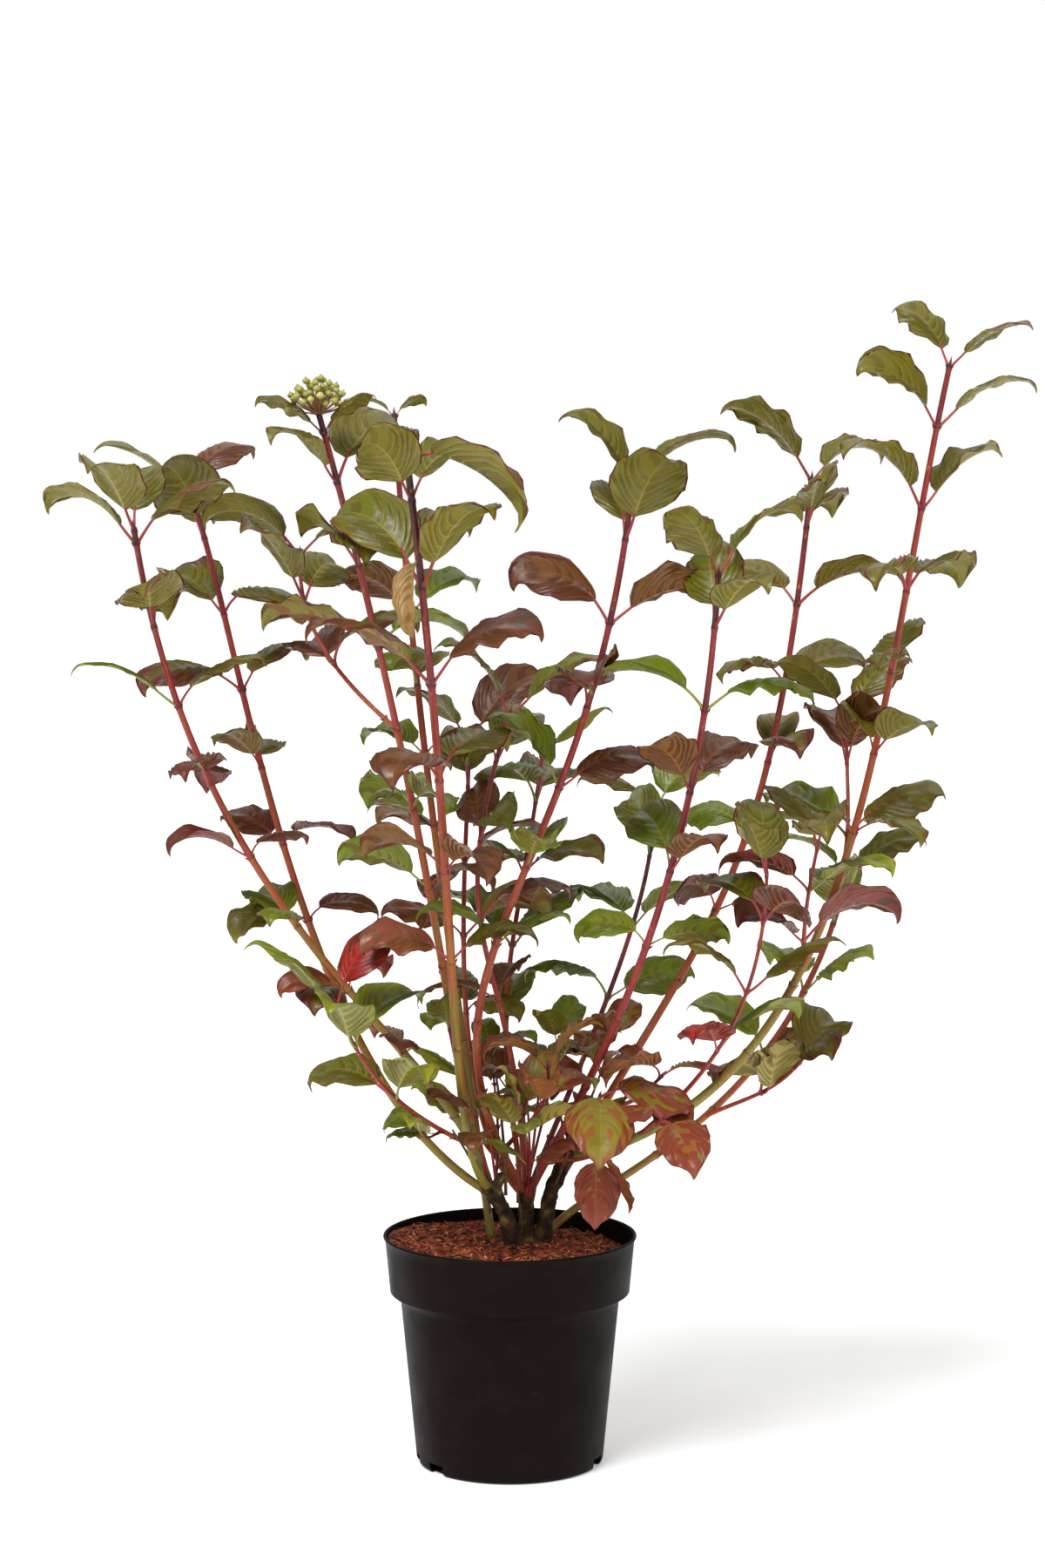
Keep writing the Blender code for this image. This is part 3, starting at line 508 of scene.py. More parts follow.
# %% One leaf, plain
class Leaf(NamedTuple):
    """A leaf: the point of its stem's axis that it grows from, how its stalk leaves, and its blade."""

    node: np.ndarray
    out: np.ndarray
    bearing: float
    rise: float
    droop: float
    roll: float
    length: float


def outline(share, wide=WIDE_POWER, narrow=NARROW_POWER):
    """Half width over its widest: share^wide (1 - share)^narrow, scaled so that its peak is 1."""
    widest = wide / (wide + narrow)
    return share**wide * (1 - share) ** narrow / (widest**wide * (1 - widest) ** narrow)


def stalk_ring(centre, ahead, across, grow):
    """The four corners of a leaf stalk, square to the way it runs."""
    ahead = ahead / np.linalg.norm(ahead)
    side = across - ahead * (across @ ahead)
    side *= (STALK_RADIUS + grow) / np.linalg.norm(side)
    normal = np.cross(ahead, side)
    return np.array((centre + side, centre + normal, centre - side, centre - normal))


print("a blade is widest at", round(WIDE_POWER / (WIDE_POWER + NARROW_POWER), 2), "of its length")


# %% Its skin, and its place on a stem
def leaf_skin(leaf, grow=0.0, rooted=True):
    """A stalk that bends at its elbow, and a folded blade on an arc from its rise down through its droop."""
    heading = np.array((math.cos(leaf.bearing), math.sin(leaf.bearing), 0.0))
    across = np.array((-heading[1], heading[0], 0.0))
    up = np.array((0.0, 0.0, 1.0))
    stalk = STALK_LENGTH * leaf.length / LEAF_LENGTH
    elbow = leaf.node + leaf.out * stalk * STALK_ELBOW
    start = math.cos(leaf.rise) * heading + math.sin(leaf.rise) * up
    base = elbow + start * stalk * (1 - STALK_ELBOW)
    shares = np.array((0.0, *LEAF_ROWS, 1.0))
    angles = leaf.rise - leaf.droop * shares
    ahead = (math.sin(leaf.rise) - np.sin(angles)) / leaf.droop * leaf.length
    above = (np.cos(angles) - math.cos(leaf.rise)) / leaf.droop * leaf.length
    centres = base + np.outer(ahead, heading) + np.outer(above, up)
    normals = np.outer(-np.sin(angles), heading) + np.outer(np.cos(angles), up)
    sides = across * math.cos(leaf.roll) + normals * math.sin(leaf.roll)
    normals = normals * math.cos(leaf.roll) - across * math.sin(leaf.roll)
    half = outline(shares) * leaf.length * LEAF_WIDTH / 2
    half[0] = STALK_RADIUS
    lift = LEAF_FOLD * half
    lift[0] = 0.0
    thick = np.full(len(shares), LEAF_THICKNESS * leaf.length / 2 + grow)
    thick[0] = STALK_RADIUS + grow
    half = half + grow
    rings = [
        np.array((
            centre + side * wide + normal * high,
            centre + normal * deep,
            centre - side * wide + normal * high,
            centre - normal * deep,
        ))
        for centre, side, normal, wide, high, deep in zip(centres, sides, normals, half, lift, thick)
    ]
    rings = [stalk_ring(elbow, leaf.out + start, across, grow)] + rings[:-1]
    if rooted:
        rings = [stalk_ring(leaf.node, leaf.out, across, grow)] + rings
    return lofted(rings, centres[-1] + (centres[-1] - centres[-2]) / leaf.length * grow)


def leaf_of(limb, node, axis, bearing, rise, size):
    """The leaf at a node: its bearing and rise are degrees, and its stalk leaves the stem at a slant."""
    angle = math.radians(bearing)
    spread = math.radians(STALK_SPREAD)
    square = np.array((math.cos(angle), math.sin(angle), 0.0))
    square = square - axis * (square @ axis)
    square /= np.linalg.norm(square)
    out = square * math.sin(spread) + axis * math.cos(spread)
    ahead = math.atan2(out[1] + square[1], out[0] + square[0])
    length = LEAF_LENGTH * limb.size * size
    return Leaf(node, out, ahead, math.radians(rise), math.radians(limb.droop), 0.0, length)


plain_leaf = leaf_of(LIMBS["front"], np.zeros(3), np.array((0.0, 0.0, 1.0)), 0.0, 40.0, 1.0)
print("faces of a plain leaf:", len(leaf_skin(plain_leaf)[1]))


# %% The room that is taken
class Space:
    """What is already in place: who owns it, its tree of triangles and its box."""

    def __init__(self):
        self.taken = []

    def add(self, owner, skin):
        """Takes up the room of a skin, for its owner."""
        vertices, faces = skin
        tree = BVHTree.FromPolygons([tuple(vertex) for vertex in vertices], faces)
        self.taken.append((owner, tree, vertices.min(axis=0), vertices.max(axis=0)))

    def meets(self, skin, owners):
        """Whether a skin cuts through anything of the owners for which owners(owner) is true."""
        vertices, faces = skin
        low, high = vertices.min(axis=0), vertices.max(axis=0)
        near = [
            tree
            for owner, tree, lowest, highest in self.taken
            if owners(owner) and (lowest <= high).all() and (highest >= low).all()
        ]
        if not near:
            return False
        form = BVHTree.FromPolygons([tuple(vertex) for vertex in vertices], faces)
        return any(form.overlap(tree) for tree in near)

    def has_room_for(self, leaf, limb_name):
        """Whether a leaf stays clear: its root may lie in its own limb, and in nothing else."""
        outside = leaf_skin(leaf, LEAF_CLEARANCE, rooted=False)
        whole = leaf_skin(leaf, LEAF_CLEARANCE)
        return not self.meets(outside, lambda owner: owner == limb_name) and not self.meets(
            whole, lambda owner: owner != limb_name
        )


space = Space()
for body in ("pot", "soil"):
    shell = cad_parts[body].data
    body_points = np.array([vertex.co[:] for vertex in shell.vertices])
    space.add(body, (body_points, [tuple(face.vertices) for face in shell.polygons]))
for limb_name in LIMBS:
    for skin in limb_skins(limb_name):
        space.add(limb_name, skin)
print("skins in the space:", len(space.taken))


# %% The rule that grows the leaves
def grow_leaves(name, space):
    """The leaves of a limb, from its tip down, each clear of everything in the space."""
    limb, path, total = LIMBS[name], paths[name], totals[name]
    rng = random.Random(name)
    grown = {}
    for number, place in enumerate(pairs_of(limb, total)):
        node, axis = point_at(path, place), axis_at(path, place)
        vigour = limb.top_size if number == 0 else 1.0 - AGEING * max(0, number - 2)
        lift = TOP_LIFT if number == 0 else max(FIRST_LIFT - LIFT_DROP * number, -MOST_DROP)
        grown[place] = []
        for side in (0, 180):
            bearing = limb.spin + limb.turn * number + side + rng.uniform(-MOST_TURN, MOST_TURN)
            rise = limb.rise + lift + rng.uniform(-MOST_TILT, MOST_TILT)
            size = vigour * rng.uniform(*SIZES)
            roll = math.radians(rng.uniform(-MOST_ROLL, MOST_ROLL))
            droop = math.radians(limb.droop + rng.uniform(-MOST_BEND, MOST_BEND))
            for turn, raised, scale in TRIES:
                leaf = leaf_of(limb, node, axis, bearing + turn, rise + raised, size * scale)
                leaf = leaf._replace(roll=roll, droop=droop)
                if space.has_room_for(leaf, name):
                    space.add(name, leaf_skin(leaf))
                    grown[place].append(leaf)
                    break
    for carrier, share, bearing, rise, droop, length in LONE_LEAVES:
        if carrier == name:
            place = share * total
            node, axis = point_at(path, place), axis_at(path, place)
            leaf = leaf_of(limb, node, axis, bearing, rise, length / LEAF_LENGTH)
            leaf = leaf._replace(droop=math.radians(droop), bearing=math.radians(bearing))
            if space.has_room_for(leaf, name):
                space.add(name, leaf_skin(leaf))
                grown[place] = [leaf]
    return [leaf for leaves_here in grown.values() for leaf in leaves_here]


def fruit_places(count, head_radius):
    """Centres on a shallow dome over the tip: reach goes with the root of the number, by the golden angle."""
    number = np.arange(count)
    reach = head_radius * np.sqrt((number + FIRST_BERRY) / count)
    angle = number * GOLDEN_ANGLE
    rise = HEAD_RISE - HEAD_DOME * (reach / head_radius) ** 2
    return paths["berry"][-1] + np.column_stack((reach * np.cos(angle), reach * np.sin(angle), rise))


for place in fruit_places(BERRIES, HEAD_RADIUS):
    rise = np.array((0.0, 0.0, BERRY_RADIUS))
    ends = np.array((place - rise, place + rise))
    up_axis = (np.array((0.0, 0.0, 1.0)),) * 2
    space.add("fruit", lofted(rings_round(ends, up_axis, (BERRY_RADIUS, BERRY_RADIUS), STEM_SIDES)))
leaves = {limb_name: grow_leaves(limb_name, space) for limb_name, limb in LIMBS.items() if limb.parts}
print("leaves:", sum(len(found) for found in leaves.values()))


# %% [markdown]
# ## The heart of the plant
# Close to the stool, short thin shoots with small leaves fill the room between the canes. They are finer
# than anything in the solids, so they are grown last and by the same rule, in the room that is left, and
# a shoot that would cross another stem leans a little to one side.

# %% Heart shoots
HEART = {"radius": (0.0018, 0.0011), "size": 0.62, "top_gap": 0.030, "top_size": 1.0, "tone": (0.80, 0.66)}
# These two hang their larger, turned leaves over the rim in front.
AUTUMN = {**HEART, "size": 0.92, "top_size": 1.05, "rise": -14.0, "droop": 56.0, "top_gap": 0.060}
HEART_SHOOTS = {
    "heart_left": Limb(
        ("trunk_left", 0.93), (-20, -34), (-0.034, -0.078, 0.372), (-14, -20), bare=0.30, spin=200, **HEART
    ),
    "heart_front": Limb(
        ("trunk_middle", 0.97), (6, -40), (0.014, -0.092, 0.378), (-6, -20), bare=0.34, spin=20, **HEART
    ),
    "heart_middle": Limb(
        ("trunk_middle", 0.98), (12, 20), (0.050, 0.022, 0.430), (8, 4), bare=0.30, spin=70, **HEART
    ),
    "heart_right": Limb(
        ("trunk_right", 0.93), (-10, -40), (0.078, -0.080, 0.392), (14, -30), bare=0.62, spin=255, **AUTUMN
    ),
    "heart_back": Limb(
        ("trunk_left", 0.90), (12, 40), (-0.020, 0.078, 0.410), (-6, 14), bare=0.30, spin=120, **HEART
    ),
    "heart_far": Limb(
        ("trunk_right", 0.90), (20, 30), (0.104, 0.076, 0.425), (10, 10), bare=0.30, spin=40, **HEART
    ),
    "heart_low": Limb(
        ("far_right", 0.10), (40, -30), (0.172, -0.082, 0.372), (46, -20), bare=0.55, spin=290, **AUTUMN
    ),
    "heart_twig": Limb(
        ("low_left", 0.12), (-50, -20), (-0.088, -0.078, 0.355), (-30, -10), bare=0.35, spin=60, **HEART
    ),
}
# How far a tip may lean across and back to let its shoot pass, and where along the shoot that counts.
LEANS = (
    (0.0, 0.0), (0.012, 0.0), (-0.012, 0.0), (0.0, 0.014), (0.0, -0.014), (0.018, 0.012), (-0.018, -0.012)
)
CLEAR_FROM, CLEAR_RINGS = 0.30, 6

for limb_name, shoot in HEART_SHOOTS.items():
    for across, back in LEANS:
        limb = shoot._replace(tip=(shoot.tip[0] + across, shoot.tip[1] + back, shoot.tip[2]))
        lay_out(limb_name, limb)
        total = totals[limb_name]
        along = np.linspace(CLEAR_FROM * total, total, CLEAR_RINGS)
        skin = tube(paths[limb_name], along, limb.radius, STEM_SIDES)
        if not space.meets(skin, lambda owner: True):
            break
    LIMBS[limb_name] = limb
    space.add(limb_name, skin)
    leaves[limb_name] = grow_leaves(limb_name, space)
print("leaves with those of the heart:", sum(len(found) for found in leaves.values()))

# %% [markdown]
# ## Grids, and the pile that becomes a piece
# Each shape below is a grid of points with rows and columns. Columns that run right round close on
# themselves, and a pole is a row whose points all coincide. A pile gathers the grids of one kind, joins
# them in a single mesh, melts the coinciding points together, and hands the piece to the frame.

# %% The pile
MELT_DISTANCE = 1e-6


def grid_faces(rows, columns, round_about):
    """Quads (r, c), (r, c+1), (r+1, c+1), (r+1, c): columns run counter-clockwise about the rows' way."""
    row = np.arange(rows - 1)[:, None] * columns
    column = np.arange(columns if round_about else columns - 1)[None, :]
    beside = (column + 1) % columns
    corners = (row + column, row + beside, row + columns + beside, row + columns + column)
    return np.stack(np.broadcast_arrays(*corners), axis=-1).reshape(-1, 4)


class Pile:
    """Grids gathered for one piece: their points, quads, finish numbers, map and painted values."""

    def __init__(self):
        self.points, self.quads, self.finishes, self.maps, self.values = [], [], [], [], {}
        self.count = 0

    def add(self, grids, round_about=True, finish=0, faces=None, uv=None, **values):
        """grids is (..., rows, columns, 3). finish is one number, or one for each quad of each grid."""
        grids = np.asarray(grids, float)
        rows, columns = grids.shape[-3:-1]
        grids = grids.reshape(-1, rows * columns, 3)
        faces = grid_faces(rows, columns, round_about) if faces is None else faces
        starts = self.count + np.arange(len(grids)) * rows * columns
        quads = faces[None] + starts[:, None, None]
        self.points.append(grids.reshape(-1, 3))
        self.quads.append(quads.reshape(-1, 4))
        self.finishes.append(np.broadcast_to(finish, (len(grids), len(faces))).ravel())
        self.maps.append(np.zeros((quads[..., 0].size, 4, 2)) if uv is None else uv.reshape(-1, 4, 2))
        for key, value in values.items():
            self.values.setdefault(key, []).append(np.broadcast_to(value, grids.shape[:2]).ravel())
        self.count += grids.shape[0] * grids.shape[1]

    def piece(self, name, materials, stands_for=(), mapped=False):
        """One smooth mesh object at the origin, its doubles melted, riding on the plant's only body."""
        points, quads = np.concatenate(self.points), np.concatenate(self.quads)
        mesh = bpy.data.meshes.new(name)
        mesh.from_pydata(points.tolist(), [], quads.tolist())
        mesh.polygons.foreach_set("material_index", np.concatenate(self.finishes).astype(np.int32))
        for key, parts in self.values.items():
            layer = mesh.attributes.new(key, "FLOAT", "POINT")
            layer.data.foreach_set("value", np.concatenate(parts).astype(np.float32))
        if mapped:
            layer = mesh.uv_layers.new(name="OFBake")
            layer.data.foreach_set("uv", np.concatenate(self.maps).astype(np.float32).ravel())
        form = bmesh.new()
        form.from_mesh(mesh)
        bmesh.ops.remove_doubles(form, verts=form.verts, dist=MELT_DISTANCE)
        form.to_mesh(mesh)
        form.free()
        mesh.shade_smooth()
        for material in materials:
            mesh.materials.append(material)
        made = bpy.data.objects.new(name, mesh)
        bpy.context.scene.collection.objects.link(made)
        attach(made, "root")
        if stands_for:
            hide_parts(*stands_for)
        triangles = sum(len(polygon.vertices) - 2 for polygon in mesh.polygons)
        print(f"{name}: {len(mesh.vertices)} points, {triangles} triangles")
        return made


print("quads of a tube of 5 rings with 8 sides:", len(grid_faces(5, 8, True)))


# %% Tubes, spindles and noise
def tubes(points, tangents, radii, sides):
    """A grid of rings round a line, closed at both ends by a row that has shrunk to its centre."""
    rings = np.array(rings_round(points, tangents, radii, sides))
    first = np.broadcast_to(rings[0].mean(axis=0), rings[0].shape)
    last = np.broadcast_to(rings[-1].mean(axis=0), rings[0].shape)
    return np.concatenate((first[None], rings, last[None]))


def spindles(centres, axes, lengths, widths, depths, profile, sides, bend=0.0):
    """Closed spindles, all at once: ring k lies at centre + axis * length * (t - 1/2), an ellipse of
    half widths width * profile(t) and depth * profile(t), and the middle bows by bend * length."""
    t = np.linspace(0.0, 1.0, len(profile))
    angles = np.arange(sides) * 2 * math.pi / sides
    hint = np.where(np.abs(axes[:, 2:]) < 0.9, np.array((0.0, 0.0, 1.0)), np.array((1.0, 0.0, 0.0)))
    side = np.cross(hint, axes)
    side /= np.linalg.norm(side, axis=1)[:, None]
    up = np.cross(axes, side)
    along = (t - 0.5)[None, :] * np.reshape(lengths, (-1, 1))
    bow = np.sin(t * math.pi)[None, :] * np.reshape(lengths, (-1, 1)) * np.reshape(bend, (-1, 1))
    spine = centres[:, None] + along[..., None] * axes[:, None] + bow[..., None] * up[:, None]
    wide = np.reshape(widths, (-1, 1, 1, 1)) * np.reshape(profile, (1, -1, 1, 1))
    deep = np.reshape(depths, (-1, 1, 1, 1)) * np.reshape(profile, (1, -1, 1, 1))
    around = np.cos(angles)[None, None, :, None] * side[:, None, None] * wide
    return spine[:, :, None] + around + np.sin(angles)[None, None, :, None] * up[:, None, None] * deep


def lattice_noise(u, v, cells_u, cells_v, seed):
    """Smooth noise from -1 to 1 over u and v from 0 to 1, mixed between random lattice values; u wraps."""
    table = np.random.default_rng(seed).uniform(-1.0, 1.0, (cells_v + 2, cells_u))
    x, y = np.broadcast_arrays(np.asarray(u) * cells_u, np.clip(v, 0.0, 1.0) * cells_v)
    column, row = np.floor(x).astype(int), np.floor(y).astype(int)
    x, y = x - column, y - row
    x, y = x * x * (3 - 2 * x), y * y * (3 - 2 * y)
    left, right = column % cells_u, (column + 1) % cells_u
    low = table[row, left] * (1 - x) + table[row, right] * x
    high = table[row + 1, left] * (1 - x) + table[row + 1, right] * x
    return low * (1 - y) + high * y


print("noise along a line:", lattice_noise(0.0, np.linspace(0, 1, 5), 3, 4, seed=0).round(2))


# %% [markdown]
# ## Finishes
# Leaves, bark and plastic all need the same help: a fine grain that breaks up gloss and lights the
# surface unevenly. So one shader group makes a fractal grain in the object's own space, with its size
# and stretch as inputs, and every finish places it with its own values.

# %% Colours as light
def ink(red, green, blue):
    """A colour as the eye counts it, 0 to 255, turned into light: below 0.04 linear, above it ^2.4."""
    shown = np.array((red, green, blue)) / 255.0
    light = np.where(shown <= 0.04045, shown / 12.92, ((shown + 0.055) / 1.055) ** 2.4)
    return (*light, 1.0)


print("middle grey as light:", round(float(ink(128, 128, 128)[0]), 3))


# %% The grain group
def make_grain():
    """Fractal noise of the object's position times Stretch, spread from Low..High to 0..1."""
    group = bpy.data.node_groups.new("grain", "ShaderNodeTree")
    for socket_name, value in (("Scale", 200.0), ("Detail", 4.0), ("Low", 0.35), ("High", 0.65)):
        socket = group.interface.new_socket(socket_name, in_out="INPUT", socket_type="NodeSocketFloat")
        socket.default_value = value
    stretch = group.interface.new_socket("Stretch", in_out="INPUT", socket_type="NodeSocketVector")
    stretch.default_value = (1.0, 1.0, 1.0)
    group.interface.new_socket("Mask", in_out="OUTPUT", socket_type="NodeSocketFloat")
    nodes, links = group.nodes, group.links
    inputs, output = nodes.new("NodeGroupInput"), nodes.new("NodeGroupOutput")
    place, pull = nodes.new("ShaderNodeTexCoord"), nodes.new("ShaderNodeVectorMath")
    noise, spread = nodes.new("ShaderNodeTexNoise"), nodes.new("ShaderNodeMapRange")
    pull.operation = "MULTIPLY"
    links.new(place.outputs["Object"], pull.inputs[0])
    links.new(inputs.outputs["Stretch"], pull.inputs[1])
    links.new(pull.outputs[0], noise.inputs["Vector"])
    links.new(inputs.outputs["Scale"], noise.inputs["Scale"])
    links.new(inputs.outputs["Detail"], noise.inputs["Detail"])
    links.new(noise.outputs["Fac"], spread.inputs["Value"])
    links.new(inputs.outputs["Low"], spread.inputs["From Min"])
    links.new(inputs.outputs["High"], spread.inputs["From Max"])
    links.new(spread.outputs["Result"], output.inputs["Mask"])
    return group


GRAIN = make_grain()
print("shader group:", GRAIN.name, "with", len(GRAIN.nodes), "nodes")


# %% The finish helper
class Finish:
    """A material being built: its nodes, its Principled shader, and short ways to wire them."""

    def __init__(self, name, colour=(0.5, 0.5, 0.5, 1.0), roughness=0.5, **sockets):
        self.material = bpy.data.materials.new(name)
        self.material.use_nodes = True
        self.nodes, self.links = self.material.node_tree.nodes, self.material.node_tree.links
        self.shader = self.nodes["Principled BSDF"]
        self.shader.inputs["Base Color"].default_value = colour
        self.shader.inputs["Roughness"].default_value = roughness
        for socket_name, value in sockets.items():
            self.shader.inputs[socket_name.replace("_", " ")].default_value = value

    def grain(self, scale, detail=4.0, low=0.35, high=0.65, stretch=(1.0, 1.0, 1.0)):
        """The grain group's mask: scale is cells for each metre, low and high are spread to 0 and 1."""
        node = self.nodes.new("ShaderNodeGroup")
        node.node_tree = GRAIN
        for socket_name, value in (("Scale", scale), ("Detail", detail), ("Low", low), ("High", high)):
            node.inputs[socket_name].default_value = value
        node.inputs["Stretch"].default_value = stretch
        return node.outputs["Mask"]

    def paint(self, name):
        """A value painted on the piece's points."""
        node = self.nodes.new("ShaderNodeAttribute")
        node.attribute_name = name
        return node.outputs["Fac"]

    def spread(self, value, low, high):
        """A value from 0 to 1 spread to low to high."""
        node = self.nodes.new("ShaderNodeMapRange")
        self.links.new(value, node.inputs["Value"])
        node.inputs["To Min"].default_value, node.inputs["To Max"].default_value = low, high
        return node.outputs["Result"]

    def maths(self, operation, first, second):
        """Two values, or numbers, joined by a Math node."""
        node = self.nodes.new("ShaderNodeMath")
        node.operation = operation
        for socket, value in zip(node.inputs, (first, second)):
            if isinstance(value, (int, float)):
                socket.default_value = value
            else:
                self.links.new(value, socket)
        return node.outputs["Value"]

    def ramp(self, value, stops):
        """A colour ramp. Its first two stops are its ends, and the others come after them, in order."""
        node = self.nodes.new("ShaderNodeValToRGB")
        elements = node.color_ramp.elements
        for number, (place, colour) in enumerate(stops):
            element = elements[number] if number < 2 else elements.new(place)
            element.position, element.color = place, colour
        self.links.new(value, node.inputs["Fac"])
        return node.outputs["Color"]

    def mix(self, share, first, second):
        """The first colour turned into the second by a share from 0 to 1."""
        node = self.nodes.new("ShaderNodeMix")
        node.data_type = "RGBA"
        self.links.new(share, node.inputs["Factor"])
        colour_inputs = [socket for socket in node.inputs if socket.type == "RGBA"]
        for socket, colour in zip(colour_inputs, (first, second)):
            if isinstance(colour, tuple):
                socket.default_value = colour
            else:
                self.links.new(colour, socket)
        return next(socket for socket in node.outputs if socket.type == "RGBA")

    def wire(self, **sockets):
        """Links values to the shader's sockets, whose names are written with _ for a space."""
        for socket_name, value in sockets.items():
            self.links.new(value, self.shader.inputs[socket_name.replace("_", " ")])

    def bump(self, height, strength, distance):
        """Lets a height tilt the shading: distance is how high, in metres, and strength how much of it."""
        node = self.nodes.new("ShaderNodeBump")
        node.inputs["Strength"].default_value = strength
        node.inputs["Distance"].default_value = distance
        self.links.new(height, node.inputs["Height"])
        self.wire(Normal=node.outputs["Normal"])


print("a finish can:", [name for name in vars(Finish) if not name.startswith("_")])

# %% [markdown]
# ## The pot
# A blow-moulded nursery pot is one thin skin: a flat floor with notches at its edge for drainage, a
# wall that widens upwards, a step, an upright collar and a small rolled lip. Its section is drawn once,
# up the outside and down the inside, and turned round the axis. The notches are cut by boxes.

# %% The pot's skin
POT_HEIGHT, RIM_RADIUS = 0.236, 0.1305
COLLAR_DEPTH, COLLAR_FOOT_RADIUS, STEP_DROP = 0.058, 0.1235, 0.010
BODY_TOP_RADIUS, BODY_FOOT_RADIUS = 0.1125, 0.0965
POT_WALL, FLOOR_THICKNESS, LIP_RADIUS, FOOT_ROUND = 0.0022, 0.003, 0.0018, 0.005
NOTCH_BEARINGS = (190.0, 219.0, 339.0, 8.0, 75.0, 105.0)
NOTCH_WIDTH, NOTCH_HEIGHT, NOTCH_REACH = 0.022, 0.011, (0.088, 0.110)
STEP_LIFT, STEP_ROUND, COLLAR_START = (0.0014, 0.0022), 0.0012, 0.001
# Where the lip's underside starts, inwards and down, and where the inner wall does, in lip radii.
LIP_IN, LIP_DOWN, INNER_DOWN = 1.1, 2.6, 3.0
POT_STEPS, POT_CREASE = 144, 38.0


def arc(centre, radius, start, end, count):
    """Points of centre + radius (cos a, sin a), from one angle in degrees to the other."""
    angles = np.radians(np.linspace(start, end, count))
    return np.column_stack((centre[0] + radius * np.cos(angles), centre[1] + radius * np.sin(angles)))


def pot_section():
    """(radius, height) up the outside with rounded foot, step and lip, and down the inside to the floor."""
    step_top = POT_HEIGHT - COLLAR_DEPTH
    step_foot = step_top - STEP_DROP
    lip = (RIM_RADIUS - LIP_RADIUS, POT_HEIGHT - LIP_RADIUS)
    under_lip = RIM_RADIUS - LIP_RADIUS * LIP_IN
    inner, inner_top = RIM_RADIUS - POT_WALL - LIP_RADIUS, POT_HEIGHT - INNER_DOWN * LIP_RADIUS
    lip_foot = (under_lip, POT_HEIGHT - LIP_DOWN * LIP_RADIUS)
    step_start = (BODY_TOP_RADIUS + STEP_LIFT[0], step_foot + STEP_LIFT[1])
    step_end = (COLLAR_FOOT_RADIUS - STEP_ROUND, step_top - STEP_ROUND)
    floor_edge = (BODY_FOOT_RADIUS - POT_WALL, FLOOR_THICKNESS)
    return np.concatenate((
        np.linspace((0.0, 0.0), (BODY_FOOT_RADIUS - FOOT_ROUND, 0.0), 3)[:-1],
        arc((BODY_FOOT_RADIUS - FOOT_ROUND, FOOT_ROUND), FOOT_ROUND, -90, 0, 6),
        np.linspace((BODY_FOOT_RADIUS, FOOT_ROUND), (BODY_TOP_RADIUS, step_foot), 14)[1:],
        np.linspace(step_start, step_end, 4),
        arc((COLLAR_FOOT_RADIUS - STEP_ROUND, step_top), STEP_ROUND, -40, 0, 3),
        np.linspace((COLLAR_FOOT_RADIUS, step_top + COLLAR_START), lip_foot, 9)[1:],
        arc(lip, LIP_RADIUS, -60, 180, 10),
        np.linspace((inner, inner_top), (COLLAR_FOOT_RADIUS - POT_WALL, step_top), 6),
        np.linspace((BODY_TOP_RADIUS - POT_WALL, step_foot), floor_edge, 6),
        ((0.0, FLOOR_THICKNESS),),
    ))


section = pot_section()
run = distances_of(section)
print("section of", len(section), "points,", round(float(run[-1]), 3), "m long")


# %% The section turned, and its notches cut
def turned(section, steps):
    """The section (radius, height) carried round the axis: x = r cos a, y = r sin a, z = height."""
    angles = np.arange(steps) * 2 * math.pi / steps
    radius, height = section[:, :1], section[:, 1:]
    return np.stack((radius * np.cos(angles), radius * np.sin(angles), height + 0 * angles), axis=-1)


def cut_notches(pot):
    """Boxes across the foot's edge, taken out of the skin by a Boolean that is then applied."""
    inner, outer = NOTCH_REACH
    for bearing in np.radians(NOTCH_BEARINGS):
        heading = np.array((math.cos(bearing), math.sin(bearing), 0.0))
        across = np.array((-heading[1], heading[0], 0.0)) * NOTCH_WIDTH / 2
        near, far = heading * inner, heading * outer
        base = np.array((near - across, far - across, far + across, near + across))
        rise = np.array((0.0, 0.0, NOTCH_HEIGHT))
        vertices, faces = lofted([base - rise, base + rise])
        box_mesh = bpy.data.meshes.new("notch")
        box_mesh.from_pydata(vertices.tolist(), [], faces)
        box = bpy.data.objects.new("notch", box_mesh)
        bpy.context.scene.collection.objects.link(box)
        difference = pot.modifiers.new("notch", "BOOLEAN")
        difference.operation, difference.solver, difference.object = "DIFFERENCE", "EXACT", box
        graph = bpy.context.evaluated_depsgraph_get()
        cut = bpy.data.meshes.new_from_object(pot.evaluated_get(graph))
        pot.modifiers.clear()
        pot.data = cut
        bpy.data.objects.remove(box)


wall_grid = turned(section, POT_STEPS)
corner_u = np.arange(POT_STEPS)[None, :] / POT_STEPS + np.zeros((len(section) - 1, 1))
low_v = (run[:-1] / run[-1])[:, None] + np.zeros((1, POT_STEPS))
high_v = (run[1:] / run[-1])[:, None] + np.zeros((1, POT_STEPS))
next_u = corner_u + 1.0 / POT_STEPS
pot_map = np.stack((corner_u, low_v, next_u, low_v, next_u, high_v, corner_u, high_v), axis=-1)
pot_pile = Pile()
pot_pile.add(wall_grid, uv=pot_map)
print("pot grid:", wall_grid.shape)

# %% [markdown]
# Nursery plastic is nearly black, with a dusty bloom, a few pale scuffs and a dull, uneven gloss.

